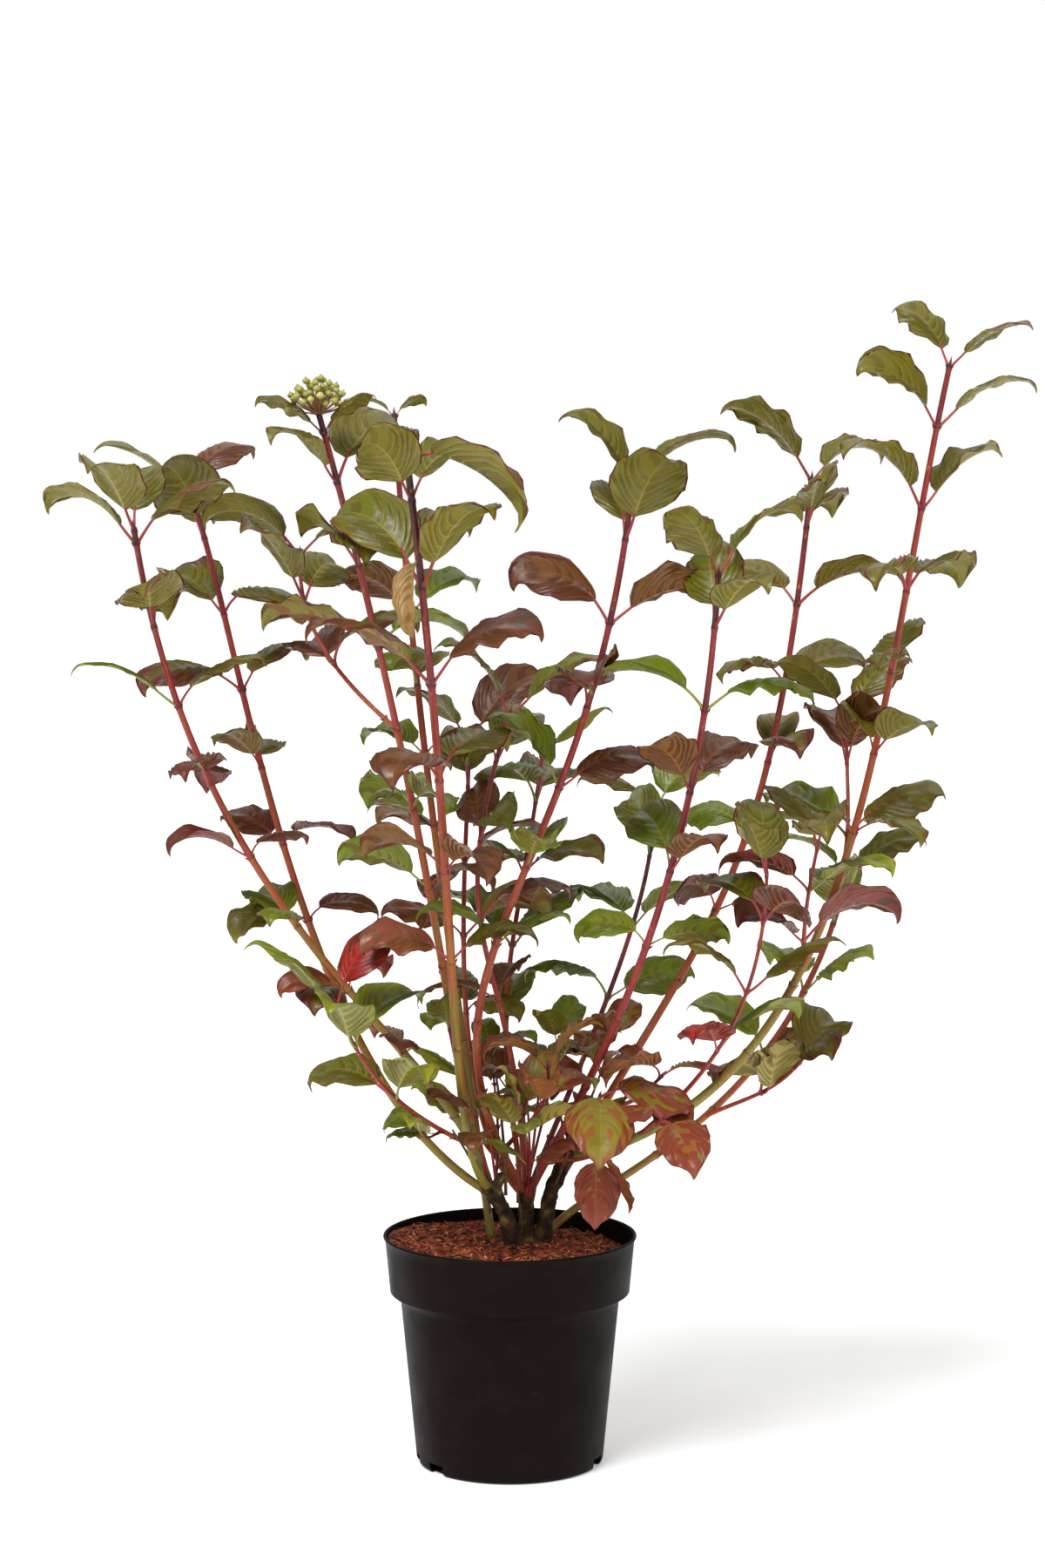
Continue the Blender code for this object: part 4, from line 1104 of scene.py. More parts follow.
# %% Black plastic, and the pot as a piece
BLACK, BLOOM, SCUFF = ink(17, 9, 7), ink(27, 18, 15), ink(60, 48, 42)
plastic = Finish("black_plastic", roughness=0.5, Specular_IOR_Level=0.06)
dust = plastic.grain(38.0, detail=6.0, low=0.50, high=0.78)
scuff = plastic.grain(60.0, detail=5.0, low=0.68, high=0.78, stretch=(1.0, 1.0, 2.0))
bloom = plastic.mix(plastic.spread(dust, 0.0, 0.55), BLACK, BLOOM)
plastic.wire(Base_Color=plastic.mix(plastic.spread(scuff, 0.0, 0.22), bloom, SCUFF))
plastic.wire(Roughness=plastic.spread(plastic.grain(24.0, low=0.3, high=0.7), 0.40, 0.56))
plastic.bump(plastic.grain(900.0, detail=2.0), strength=0.10, distance=0.0002)
pot = pot_pile.piece("nursery_pot", [plastic.material], ("pot",), mapped=True)
cut_notches(pot)
pot.data.set_sharp_from_angle(angle=math.radians(POT_CREASE))
print("pot:", len(pot.data.polygons), "faces with its notches")

# %% [markdown]
# ## The potting mix
# The pot is filled with red-brown coir and bark. It is heaped round the stool and sinks towards the
# wall at the back, where the inside of the pot shows. A polar grid with noise on its height gives the
# bed, and loose slivers and threads, laid at random, give it the frayed look of coir.

# %% The bed
SOIL_RADIUS = 0.1252
SOIL_RINGS, SOIL_SPOKES = 56, 180
HEAP, HEAP_REACH, HEAP_POWER = 0.001, 0.35, 1.6
FALL, BACK_FALL, FRONT_RISE, BACK_BEARING = 0.001, 0.012, 0.008, 30.0
COARSE_LUMP, FINE_LUMP, CRUMB = 0.0022, 0.0012, 0.0006
LUMPS_END, LUMPS_FADE, LEAST_LUMPS = 1.02, 6.0, 0.3
UNDERCUT = (0.97, 0.97, 0.93)


def soil_height(x, y):
    """Top + heap - fall * share + lumps. The share grows from the heap's edge to the wall, to the power
    1.6. At the wall the bed falls most at the back right and rises at the front left."""
    reach = np.hypot(x, y) / SOIL_RADIUS
    away = 0.5 + 0.5 * np.cos(np.arctan2(y, x) - math.radians(BACK_BEARING))
    rim_share = np.clip((reach - HEAP_REACH) / (1 - HEAP_REACH), 0.0, 1.0) ** HEAP_POWER
    fall = (FALL + BACK_FALL * away**2 - FRONT_RISE * (1 - away) ** 2) * rim_share
    u, v = x / (2 * SOIL_RADIUS) + 0.5, y / (2 * SOIL_RADIUS) + 0.5
    lumps = COARSE_LUMP * lattice_noise(u, v, 9, 9, seed=3)
    lumps += FINE_LUMP * lattice_noise(u, v, 23, 23, seed=4)
    return SOIL_TOP + HEAP - fall + lumps * np.clip((LUMPS_END - reach) * LUMPS_FADE, LEAST_LUMPS, 1.0)


ring_share = np.linspace(0.0, 1.0, SOIL_RINGS)[:, None]
spoke = np.arange(SOIL_SPOKES)[None, :] * 2 * math.pi / SOIL_SPOKES
soil_x, soil_y = SOIL_RADIUS * ring_share * np.cos(spoke), SOIL_RADIUS * ring_share * np.sin(spoke)
soil_z = soil_height(soil_x, soil_y)
soil_z += CRUMB * lattice_noise(soil_x * 4 + 0.5, soil_y * 4 + 0.5, 90, 90, seed=5)
bed_grid = np.stack((soil_x, soil_y, soil_z), axis=-1)
under = bed_grid[-1:] * np.array(UNDERCUT)
bed_grid = np.concatenate((bed_grid, under, under * np.array((0.0, 0.0, 1.0))))[::-1]
soil_pile = Pile()
soil_pile.add(bed_grid)
coir = Finish("coir_bed", roughness=0.95, Specular_IOR_Level=0.2)
lump = coir.grain(120.0, detail=8.0, low=0.36, high=0.66)
coir.wire(Base_Color=coir.ramp(lump, (
    (0.0, ink(36, 18, 12)), (1.0, ink(176, 94, 58)), (0.38, ink(88, 40, 24)), (0.72, ink(136, 64, 38)),
)))
coir.bump(coir.grain(420.0, detail=6.0), strength=0.8, distance=0.0015)
soil_pile.piece("potting_mix", [coir.material], ("soil",))

# %% Slivers and threads on it
CHIPS, CHIP_RIM, CHIP_PITCH = 1300, SOIL_RADIUS - 0.006, 34
CHIP_LENGTHS, CHIP_WIDTHS, CHIP_DEPTHS = (0.004, 0.017), (0.0005, 0.0020), (0.0003, 0.0009)
CHIP_PROFILE = (0.0, 0.8, 1.0, 0.0)
THREADS, THREAD_RIM, THREAD_PITCH, THREAD_LIFT = 420, SOIL_RADIUS - 0.009, 30, 0.001
THREAD_LENGTHS, THREAD_WIDTHS, THREAD_BENDS = (0.008, 0.020), (0.00015, 0.0003), (0.02, 0.18)
THREAD_PROFILE = (0.0, 1.0, 1.0, 1.0, 0.0)
rng = np.random.default_rng(11)


def strewn(count, rim):
    """Places spread evenly over a disc, reach = rim * sqrt(random), lying on the bed."""
    reach, angle = rim * np.sqrt(rng.uniform(0.0, 1.0, count)), rng.uniform(0, 2 * math.pi, count)
    x, y = reach * np.cos(angle), reach * np.sin(angle)
    return np.column_stack((x, y, soil_height(x, y)))


def flat_ways(count, most_pitch):
    """Unit vectors of any bearing, pitched up or down by at most that many degrees."""
    bearing = rng.uniform(0, 2 * math.pi, count)
    pitch = np.radians(rng.uniform(-most_pitch, most_pitch, count))
    return np.column_stack((np.cos(bearing) * np.cos(pitch), np.sin(bearing) * np.cos(pitch), np.sin(pitch)))


chips = spindles(
    strewn(CHIPS, CHIP_RIM), flat_ways(CHIPS, CHIP_PITCH), rng.uniform(*CHIP_LENGTHS, CHIPS),
    rng.uniform(*CHIP_WIDTHS, CHIPS), rng.uniform(*CHIP_DEPTHS, CHIPS), CHIP_PROFILE, sides=4,
)
threads = spindles(
    strewn(THREADS, THREAD_RIM) + np.array((0.0, 0.0, THREAD_LIFT)), flat_ways(THREADS, THREAD_PITCH),
    rng.uniform(*THREAD_LENGTHS, THREADS), rng.uniform(*THREAD_WIDTHS, THREADS),
    rng.uniform(*THREAD_WIDTHS, THREADS), THREAD_PROFILE, sides=3, bend=rng.uniform(*THREAD_BENDS, THREADS),
)
LITTER = {
    "coir_rust": ink(190, 90, 54), "coir_tan": ink(220, 150, 108),
    "coir_brown": ink(122, 58, 36), "coir_dark": ink(38, 22, 16),
}
# The shares of these colours among the slivers, and those of the first three among the threads.
CHIP_SHARES, THREAD_SHARES = (0.34, 0.10, 0.32, 0.24), (0.5, 0.35, 0.15)
litter = [Finish(name, colour, roughness=0.9, Specular_IOR_Level=0.2) for name, colour in LITTER.items()]
for finish in litter:
    finish.wire(Roughness=finish.spread(finish.grain(300.0), 0.8, 1.0))
    finish.bump(finish.grain(700.0, detail=3.0, stretch=(1.0, 1.0, 0.4)), strength=0.5, distance=0.0006)
litter_pile = Pile()
litter_pile.add(chips, finish=rng.choice(len(CHIP_SHARES), (CHIPS, 1), p=CHIP_SHARES))
litter_pile.add(threads, finish=rng.choice(len(THREAD_SHARES), (THREADS, 1), p=THREAD_SHARES))
litter_pile.piece("coir_chips", [finish.material for finish in litter], ("soil",))

# %% [markdown]
# ## Bark
# The old trunks are thick, dark and lumpy. The canes are smooth and waxy, green where they are shaded,
# then orange, red and maroon, with a swollen ring and a dark line at each pair of leaves, or where a
# pair once was. A tube along the cubic curve carries a radius that swells at the rings, and two painted
# values, tone and ring, tell the shader where along that range of colours each point lies.

# %% Rings, and the strip of the map
CANE_SIDES, CANE_STEP = 12, 0.007
RING_STEPS = np.array((-0.0045, -0.0026, -0.0013, -0.0005, 0.0005, 0.0013, 0.0026, 0.0045))
RING_SWELL, RING_LENGTH, RING_LINE = 0.20, 0.0022, 0.0007
RING_DENT, DENT_LENGTH, WOBBLE = 0.03, 0.0009, 0.025
OLD_RINGS, LOWEST_RING, LEAST_STEP = 0.6, 0.01, 2e-4
STRIPS, STRIP_FILL, STRIP_REACH, STRIP_FOOT, POLE_STRIP = 40, 0.9, 1.25, 0.004, 0.002
TONE_POWER = 1.2
# The bark is darker just above each ring, and most of all in the upper part of a cane.
DARK_LENGTH, DARKENING, DARK_FROM, DARK_FULL = 0.022, 0.26, 0.35, 0.4


def along_curve(name, along):
    """Points and unit tangents of the limb's cubic at distances along it."""
    controls = curves[name]
    t = np.interp(along, distances_of(paths[name]), np.linspace(0.0, 1.0, CURVE_STEPS + 1))
    points = cubic(controls, t)
    nudge = 1e-3
    tangents = cubic(controls, np.clip(t + nudge, 0, 1)) - cubic(controls, np.clip(t - nudge, 0, 1))
    return points, tangents / np.linalg.norm(tangents, axis=1)[:, None]


def ring_places(limb, total):
    """Where the limb is ringed: at its pairs, and on down its bare foot at the same steps."""
    places = pairs_of(limb, total) or [total - limb.bud]
    while places[-1] > PAIR_GAP * limb.size * OLD_RINGS:
        places.append(places[-1] - PAIR_GAP * limb.size)
    return np.array([place for place in places if place > LOWEST_RING])


def strip_map(along, columns, number):
    """The limb's own strip of the map: across it goes round the limb, and up it goes along."""
    left, width = number / STRIPS, STRIP_FILL / STRIPS
    v = np.concatenate(([along[0]], along, [along[-1]])) / STRIP_REACH
    v[0], v[-1] = v[0] - POLE_STRIP, v[-1] + POLE_STRIP
    u = left + width * np.arange(columns + 1) / columns
    low, high = v[:-1, None] + STRIP_FOOT + 0 * u[None, :-1], v[1:, None] + STRIP_FOOT + 0 * u[None, :-1]
    first, second = u[None, :-1] + 0 * low, u[None, 1:] + 0 * low
    return np.stack((first, low, second, low, second, high, first, high), axis=-1)


print("rings on the front cane:", len(ring_places(LIMBS["front"], totals["front"])))

# %% Canes as tubes
cane_pile = Pile()
for number, (limb_name, limb) in enumerate(LIMBS.items()):
    if limb.parts == 0:
        continue
    total = totals[limb_name]
    rings_at = ring_places(limb, total)
    along = np.unique(np.clip(np.concatenate((
        np.arange(0.0, total, CANE_STEP), (rings_at[:, None] + RING_STEPS).ravel(), [total],
    )), 0.0, total))
    along = along[np.concatenate(([True], np.diff(along) > LEAST_STEP))]
    points, tangents = along_curve(limb_name, along)
    apart = np.abs(along[:, None] - rings_at).min(axis=1)
    swell = 1 + RING_SWELL * np.exp(-((apart / RING_LENGTH) ** 2))
    swell -= RING_DENT * np.exp(-((apart / DENT_LENGTH) ** 2))
    wobble = 1 + WOBBLE * lattice_noise(np.zeros(len(along)), along / total, 3, 40, seed=number)
    radii = np.interp(along, (0.0, total), limb.radius) * swell * wobble
    grid = tubes(points, tangents, radii, CANE_SIDES)
    share = np.concatenate(([0.0], along, [total])) / total
    tone = limb.tone[0] + (limb.tone[1] - limb.tone[0]) * share**TONE_POWER
    above = along[:, None] - rings_at
    dark = np.exp(-np.clip(above, 0.0, None) / DARK_LENGTH) * (above > 0)
    dark = np.concatenate(([0.0], dark.max(axis=1), [0.0]))
    tone = tone + DARKENING * dark * np.clip((share - DARK_FROM) / DARK_FULL, 0.0, 1.0)
    line_mark = np.exp(-((apart / RING_LINE) ** 2))
    line_mark = np.concatenate(([0.0], line_mark, [0.0]))
    cane_pile.add(
        grid, uv=strip_map(along, CANE_SIDES, number),
        tone=np.repeat(tone, CANE_SIDES)[None], ring=np.repeat(line_mark, CANE_SIDES)[None],
    )
print("canes:", cane_pile.count, "points")

# %% Bark of the canes
# The colour along tone: its two ends first, and then what lies between.
CANE_COLOURS = (
    (0.0, ink(136, 132, 46)), (1.0, ink(50, 18, 20)), (0.16, ink(138, 108, 36)), (0.34, ink(160, 80, 32)),
    (0.52, ink(152, 58, 34)), (0.70, ink(142, 40, 38)), (0.86, ink(96, 24, 28)),
)
CORK, RING_BROWN = ink(196, 150, 108), ink(58, 26, 20)
cane_bark = Finish("cane_bark", roughness=0.38, Specular_IOR_Level=0.45)
fleck = cane_bark.grain(90.0, detail=5.0, low=0.3, high=0.7, stretch=(1.0, 1.0, 0.18))
toned = cane_bark.maths("ADD", cane_bark.paint("tone"), cane_bark.spread(fleck, -0.10, 0.10))
skin_colour = cane_bark.ramp(toned, CANE_COLOURS)
corky = cane_bark.grain(260.0, detail=3.0, low=0.62, high=0.72, stretch=(1.0, 1.0, 0.5))
skin_colour = cane_bark.mix(cane_bark.spread(corky, 0.0, 0.35), skin_colour, CORK)
ringed = cane_bark.spread(cane_bark.paint("ring"), 0.0, 0.85)
cane_bark.wire(Base_Color=cane_bark.mix(ringed, skin_colour, RING_BROWN))
cane_bark.wire(Roughness=cane_bark.spread(fleck, 0.34, 0.52))
cane_bark.bump(cane_bark.grain(500.0, detail=3.0, stretch=(1.0, 1.0, 0.25)), strength=0.35, distance=0.0005)
leafy_nodes = [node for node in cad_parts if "_leaves" in node]
cane_nodes = [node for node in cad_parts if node.endswith("_cane")]
cane_pile.piece("red_canes", [cane_bark.material], cane_nodes, mapped=True)

# %% [markdown]
# The old trunks are the same tubes with a flare, a knob, lumps and a row of leaf scars. Two short stubs,
# where shoots were cut off, stand on them.

# %% Trunks and stubs
TRUNK_RING, TRUNK_COLUMNS = 0.0016, 36
# How far above the last ring each ring of the rounded top lies, and its share of the last ring's width.
TRUNK_TOP = ((0.3, 0.92), (0.55, 0.70), (0.7, 0.42), (0.78, 0.0))
LUMPS, SCAR, SCAR_GAP, SCAR_WIDTH = (0.16, 0.11, 0.05), 0.09, 0.016, 0.09
STUB = {"radius": (0.0050, 0.0036), "parts": 0}
STUBS = {
    "stub_left": Limb(("trunk_left", 0.62), (-20, -20), (-0.008, -0.050, 0.306), (26, -10), **STUB),
    "stub_fork": Limb(("trunk_right", 0.86), (30, -10), (0.060, -0.016, 0.346), (-16, -20), **STUB),
}
trunk_pile = Pile()
for number, limb_name in enumerate([name for name, limb in LIMBS.items() if limb.parts == 0] + list(STUBS)):
    if limb_name in STUBS:
        LIMBS[limb_name] = STUBS[limb_name]
        lay_out(limb_name, STUBS[limb_name])
    total, radius = totals[limb_name], LIMBS[limb_name].radius
    along = np.arange(0.0, total, TRUNK_RING)
    points, tangents = along_curve(limb_name, along)
    radii = np.interp(along, (0.0, total), radius)
    radii *= 1 + FLARE * np.exp(-along / FLARE_LENGTH) + KNOB * (along / total) ** 3
    rings = np.array(rings_round(points, tangents, radii, TRUNK_COLUMNS))
    tops = [
        points[-1] + tangents[-1] * radii[-1] * rise + (rings[-1] - points[-1]) * share
        for rise, share in TRUNK_TOP
    ]
    rings = np.concatenate((rings, tops))
    centres = rings.mean(axis=1, keepdims=True)
    u = np.arange(TRUNK_COLUMNS)[None, :] / TRUNK_COLUMNS
    v = np.linspace(0.0, 1.0, len(rings))[:, None]
    relief = 1 + LUMPS[0] * lattice_noise(u, v, 5, 7, seed=number)
    relief += LUMPS[1] * lattice_noise(u, v, 9, 20, seed=number + 7)
    relief += LUMPS[2] * lattice_noise(u, v, 18, 26, seed=number + 20)
    scar = np.exp(-((((v * total / SCAR_GAP) % 1.0) - 0.5) / SCAR_WIDTH) ** 2)
    rings = centres + (rings - centres) * (relief + SCAR * scar)[..., None]
    if limb_name not in STUBS:
        rings[0, :, 2] = SOIL_TOP + CLEARANCE
    foot = np.broadcast_to(rings[0].mean(axis=0), rings[0].shape)
    trunk_pile.add(np.concatenate((foot[None], rings)))
old_bark = Finish("old_bark", roughness=0.85, Specular_IOR_Level=0.25)
rot = old_bark.grain(70.0, detail=7.0, low=0.34, high=0.68)
old_bark.wire(Base_Color=old_bark.ramp(rot, (
    (0.0, ink(26, 18, 13)), (1.0, ink(124, 112, 52)), (0.42, ink(58, 40, 26)), (0.70, ink(82, 62, 34)),
)))
old_bark.bump(old_bark.grain(300.0, detail=6.0, stretch=(1.0, 1.0, 0.35)), strength=0.9, distance=0.0012)
trunk_pile.piece("old_trunks", [old_bark.material], ("trunk_left", "trunk_middle", "trunk_right"))

# %% [markdown]
# ## Leaves
# A dogwood leaf is oval with a drawn-out tip. Five pairs of veins leave the lower half of the midrib and
# sweep forward beside the edge, and the blade puffs up between them. So the grid's rows follow the
# veins: each starts at its root on the midrib and slides towards the tip as it goes out. Two close rows
# make a vein, and a row between two veins is lifted. Every leaf of the plant is worked out at once, as
# one array of leaves by rows by columns by three.

# %% The grid of one leaf
# A vein: its share of the length on the midrib and at the edge. A row has both, and how much it is lifted.
VEINS = ((0.035, 0.36), (0.085, 0.53), (0.160, 0.665), (0.265, 0.775), (0.395, 0.86))
BASE_ROWS = ((0.0, 0.0, 0.0), (0.006, 0.05, 0.3), (0.014, 0.14, 0.7), (0.024, 0.25, 0.9))
TIP_ROWS = (
    (0.52, 0.91, 0.9), (0.63, 0.935, 0.6), (0.74, 0.955, 0.3),
    (0.84, 0.972, 0.0), (0.92, 0.986, 0.0), (1.0, 1.0, 0.0),
)
VEIN_HALF, VEIN_BEND = 0.0050, 1.85
COLUMNS = np.array((-1.0, -0.95, -0.80, -0.60, -0.38, -0.18, 0.0, 0.0, 0.18, 0.38, 0.60, 0.80, 0.95, 1.0))
COLUMN_SIDES = np.repeat((-1.0, 1.0), 7)

rows = list(BASE_ROWS)
for (root, reach), (next_root, next_reach) in zip(VEINS, VEINS[1:] + (TIP_ROWS[0][:2],)):
    rows += [(root - VEIN_HALF, reach - VEIN_HALF, 0.0), (root + VEIN_HALF, reach + VEIN_HALF, 0.0)]
    rows.append(((root + next_root) / 2, (reach + next_reach) / 2, 1.0))
rows += TIP_ROWS
row_root, row_reach, row_lift = (np.array(each)[:, None] for each in zip(*rows))
out = np.abs(COLUMNS)[None, :]
share_along = row_root + (row_reach - row_root) * out**VEIN_BEND
vein_strip = (row_lift[:-1] == 0.0) & (row_lift[1:] == 0.0) & (row_root[:-1] > 0.0) & (row_root[1:] < 0.5)
BLADE_ROWS, BLADE_COLUMNS = share_along.shape
print("blade grid:", BLADE_ROWS, "rows along,", BLADE_COLUMNS, "columns across")


# %% The bend of a midrib
# Depths, widths and heights are shares of the leaf's length, and angles are in radians.
BLADE_THICKNESS, BLADE_LIFT, RIB_DEPTH, VEIN_DEPTH = 0.0040, 0.030, 0.012, 0.0050
LIFT_POWER, ENDS_THIN, RIB_THINS = 1.2, 0.05, 0.8
RIB_WIDTH, RIB_TIP_WIDTH, RIB_OVERLAP = 0.0095, 0.001, 0.9
FINE_WIDE_POWER, FINE_NARROW_POWER = 0.60, 0.85
EARLY_BEND, LATE_BEND, ARC_STEPS = 0.75, 0.25, 40
TIP_CURL, TIP_START, TIP_NARROWS, TIP_TAPER = 1.15, 0.80, 0.50, 0.13
MOST_TWIST, CURLS, WAVES, WAVE_COUNTS = 0.55, (-0.8, 1.6), (0.014, 0.056), (1.8, 4.2)


def arched(rise, droop, length):
    """A midrib bent more and more: angle = rise - droop (0.75 a + 0.25 a^3), with a curl near the tip,
    and the sum of cos and sin of it gives how far ahead and how high each share a of the length is."""
    a = np.linspace(0.0, 1.0, ARC_STEPS + 1)[None, :]
    tip = np.clip((a - TIP_START) / (1 - TIP_START), 0.0, 1.0)
    angles = rise[:, None] - droop[:, None] * (EARLY_BEND * a + LATE_BEND * a**3) - TIP_CURL * tip
    middle = (angles[:, 1:] + angles[:, :-1]) / 2
    start = np.zeros((len(rise), 1))
    ahead = np.concatenate((start, np.cumsum(np.cos(middle), axis=1)), axis=1) / ARC_STEPS * length[:, None]
    above = np.concatenate((start, np.cumsum(np.sin(middle), axis=1)), axis=1) / ARC_STEPS * length[:, None]
    return ahead, above, angles


def at_shares(table, shares):
    """Values of each leaf's table, whose columns are even shares, at the grid of shares of all leaves."""
    place = shares * (table.shape[1] - 1)
    low = np.clip(place.astype(int), 0, table.shape[1] - 2)
    part = place - low
    return table[:, low] * (1 - part) + table[:, low + 1] * part


flat_ahead = arched(np.zeros(1), np.ones(1), np.ones(1))[0]
print("a midrib bent by a radian reaches", round(float(flat_ahead[0, -1]), 3), "of its length ahead")


# %% All blades at once
def blade_grids(sprays, folds, widths, rng):
    """(leaves, rows, columns, 3) for the upper and the lower face of every leaf, and its stalk's points.

    Across, y = c * half width + side * rib. The height over the midrib's arc is fold * |y|, less a
    bend in y squared, plus a wave on the edge, plus lift * sin(pi |c|)^1.2 between the veins. The lower
    face lies deeper by the thickness, the vein or the rib, and meets the upper one at the edge.
    """
    count = len(sprays)
    bearing, rise, droop, roll, length = (
        np.array([getattr(leaf, key) for leaf in sprays])
        for key in ("bearing", "rise", "droop", "roll", "length")
    )
    heading = np.column_stack((np.cos(bearing), np.sin(bearing), np.zeros(count)))
    across = np.column_stack((-np.sin(bearing), np.cos(bearing), np.zeros(count)))
    up = np.array((0.0, 0.0, 1.0))
    stalk = (STALK_LENGTH * length / LEAF_LENGTH)[:, None]
    node, way = np.array([leaf.node for leaf in sprays]), np.array([leaf.out for leaf in sprays])
    start = np.cos(rise)[:, None] * heading + np.sin(rise)[:, None] * up
    elbow = node + way * stalk * STALK_ELBOW
    base = elbow + start * stalk * (1 - STALK_ELBOW)

    ahead, above, angles = arched(rise, droop, length)
    ahead, above, angle = (at_shares(table, share_along)[..., None] for table in (ahead, above, angles))
    heading_, across_ = heading[:, None, None], across[:, None, None]
    centre = base[:, None, None] + ahead * heading_ + above * up
    normal = -np.sin(angle) * heading_ + np.cos(angle) * up
    twist = rng.uniform(-MOST_TWIST, MOST_TWIST, count)[:, None, None, None]
    roll_ = roll[:, None, None, None] + twist * share_along[None, :, :, None]
    side = across_ * np.cos(roll_) + normal * np.sin(roll_)
    normal = normal * np.cos(roll_) - across_ * np.sin(roll_)

    size = length[:, None, None]
    rib = (RIB_WIDTH * (1 - share_along) + RIB_TIP_WIDTH)[None] * size
    taper = np.clip((share_along - TIP_START) / TIP_TAPER, 0.0, 1.0)
    taper = 1 - TIP_NARROWS * taper * taper * (3 - 2 * taper)
    half = (outline(share_along, FINE_WIDE_POWER, FINE_NARROW_POWER) * taper)[None] * size
    half = half * widths[:, None, None] / 2 - rib * RIB_OVERLAP
    half = np.clip(half, 0.0, None)
    y = COLUMNS[None, None] * half + COLUMN_SIDES[None, None] * rib
    curl = rng.uniform(*CURLS, count)[:, None, None]
    wave = rng.uniform(*WAVES, count)[:, None, None]
    waves = rng.uniform(*WAVE_COUNTS, count)[:, None, None]
    phase = rng.uniform(0.0, 1.0, (count, 2))
    phase = np.where(COLUMN_SIDES[None, None] < 0, phase[:, :1, None], phase[:, 1:, None])
    height = folds[:, None, None] * np.abs(y) - curl * y**2 / size
    ripple = np.sin(2 * math.pi * (waves * share_along + phase)) * np.sin(math.pi * share_along)
    height += wave * size * out**2 * ripple
    height += BLADE_LIFT * size * row_lift * np.sin(math.pi * out) ** LIFT_POWER
    ends = np.clip(share_along / ENDS_THIN, 0, 1) * np.clip((1 - share_along) / ENDS_THIN, 0, 1)
    body = (1 - out**3) * ends
    on_vein = (row_lift == 0.0) * (out > 0)
    deep = BLADE_THICKNESS + VEIN_DEPTH * on_vein + RIB_DEPTH * (out == 0) * (1 - RIB_THINS * share_along)
    upper = centre + side * y[..., None] + normal * height[..., None]
    lower = centre + side * y[..., None] + normal * (height - deep * size * body)[..., None]
    return upper, lower, (node, elbow, base, across, start)


print("points of one leaf:", 2 * BLADE_ROWS * BLADE_COLUMNS)


# %% [markdown]
# ## Autumn tints, dealt out by spray
# The top of the plant is olive with maroon edges, the middle is green and bronze, and the foot is fresh
# green, yellow and crimson. Each leaf gets a kind, and a kind is a row of plain colours: the blade, a
# mixed tone and the tint it is turning to, its veins and edge, and its paler underside. On both faces it
# also holds a darker colour of painted shade for the folds beside the veins. The tint takes the cells
# nearest the edge and the tip first, as it does on the real leaf. On the yellow and red leaves chance
# moves that border from cell to cell, so they are mottled.

# %% Colours of the leaves
# Several of the darker colours also serve as painted shade on the folds beside the veins, and the darker
# yellow serves only as that.
LEAF_COLOURS = {
    "olive": (106, 98, 20), "olive_dark": (92, 84, 15), "moss": (98, 102, 16), "bronze": (106, 64, 30),
    "bronze_dark": (90, 48, 26), "wine": (96, 38, 30), "rosewood": (126, 60, 44), "green": (104, 114, 18),
    "green_dark": (90, 100, 13), "rose": (126, 66, 46), "crimson_dark": (138, 30, 20),
    "yellow_fold": (122, 106, 28), "fresh": (124, 132, 26), "lime": (140, 140, 36),
    "crimson": (152, 34, 24), "yellow": (130, 114, 34), "blush": (140, 84, 38),
    "russet": (126, 56, 34), "dry": (190, 160, 110), "dry_dark": (168, 132, 84),
    "vein_olive": (132, 122, 36), "vein_bronze": (124, 76, 36), "vein_green": (118, 130, 24),
    "vein_red": (162, 54, 38), "maroon_edge": (94, 32, 26),
    "under_olive": (130, 120, 44), "under_green": (126, 138, 40), "under_bronze": (128, 88, 44),
    "under_red": (152, 62, 46), "under_wine": (124, 56, 46), "under_yellow": (162, 144, 66),
    "under_rusty": (158, 92, 54), "pale_vein": (152, 143, 72), "rosy_vein": (148, 98, 60),
    "under_shade": (116, 107, 37),
}
colour_names = list(LEAF_COLOURS)
leaf_finishes = []
for colour_name, shade in LEAF_COLOURS.items():
    finish = Finish("leaf_" + colour_name, ink(*shade), roughness=0.36, Specular_IOR_Level=0.38)
    finish.wire(Roughness=finish.spread(finish.grain(160.0, detail=3.0), 0.27, 0.44))
    finish.bump(finish.grain(220.0, detail=2.0, low=0.3, high=0.7), strength=0.26, distance=0.0005)
    leaf_finishes.append(finish.material)
print(len(LEAF_COLOURS), "colours of leaves")

# %% Kinds of leaf
# Each: blade, painted shade on its folds, the mixed tone, the tint, veins, edge, and underneath: face,
# painted shade on its folds, veins.
KINDS = {
    "olive": "olive olive_dark olive_dark bronze vein_olive maroon_edge under_olive under_shade pale_vein",
    "moss": "moss olive_dark olive bronze vein_olive maroon_edge under_olive under_shade pale_vein",
    "turning": "olive olive_dark bronze wine vein_bronze maroon_edge under_olive under_bronze rosy_vein",
    "bronze": "bronze bronze_dark bronze_dark wine vein_bronze maroon_edge under_bronze bronze rosy_vein",
    "green": "green green_dark moss olive vein_green green_dark under_green under_shade pale_vein",
    "fresh": "fresh green lime lime vein_green green under_green under_shade pale_vein",
    "rose": "rose bronze bronze wine rosewood maroon_edge under_bronze bronze rosy_vein",
    "wine": "wine bronze_dark bronze_dark bronze rosewood bronze_dark under_wine bronze_dark rosy_vein",
    "crimson": "crimson crimson_dark wine wine vein_red wine under_red crimson_dark rosy_vein",
    "yellow": "yellow yellow_fold blush russet vein_olive russet under_yellow yellow_fold pale_vein",
    "rusty": "blush yellow_fold russet russet blush wine under_rusty blush rosy_vein",
    "dry": "dry dry_dark dry_dark dry_dark dry_dark dry_dark dry dry_dark dry_dark",
}
BLADE, FOLD_SHADE, MIXED, TINT, VEIN, EDGE, UNDER, UNDER_FOLD_SHADE, UNDER_VEIN = range(9)
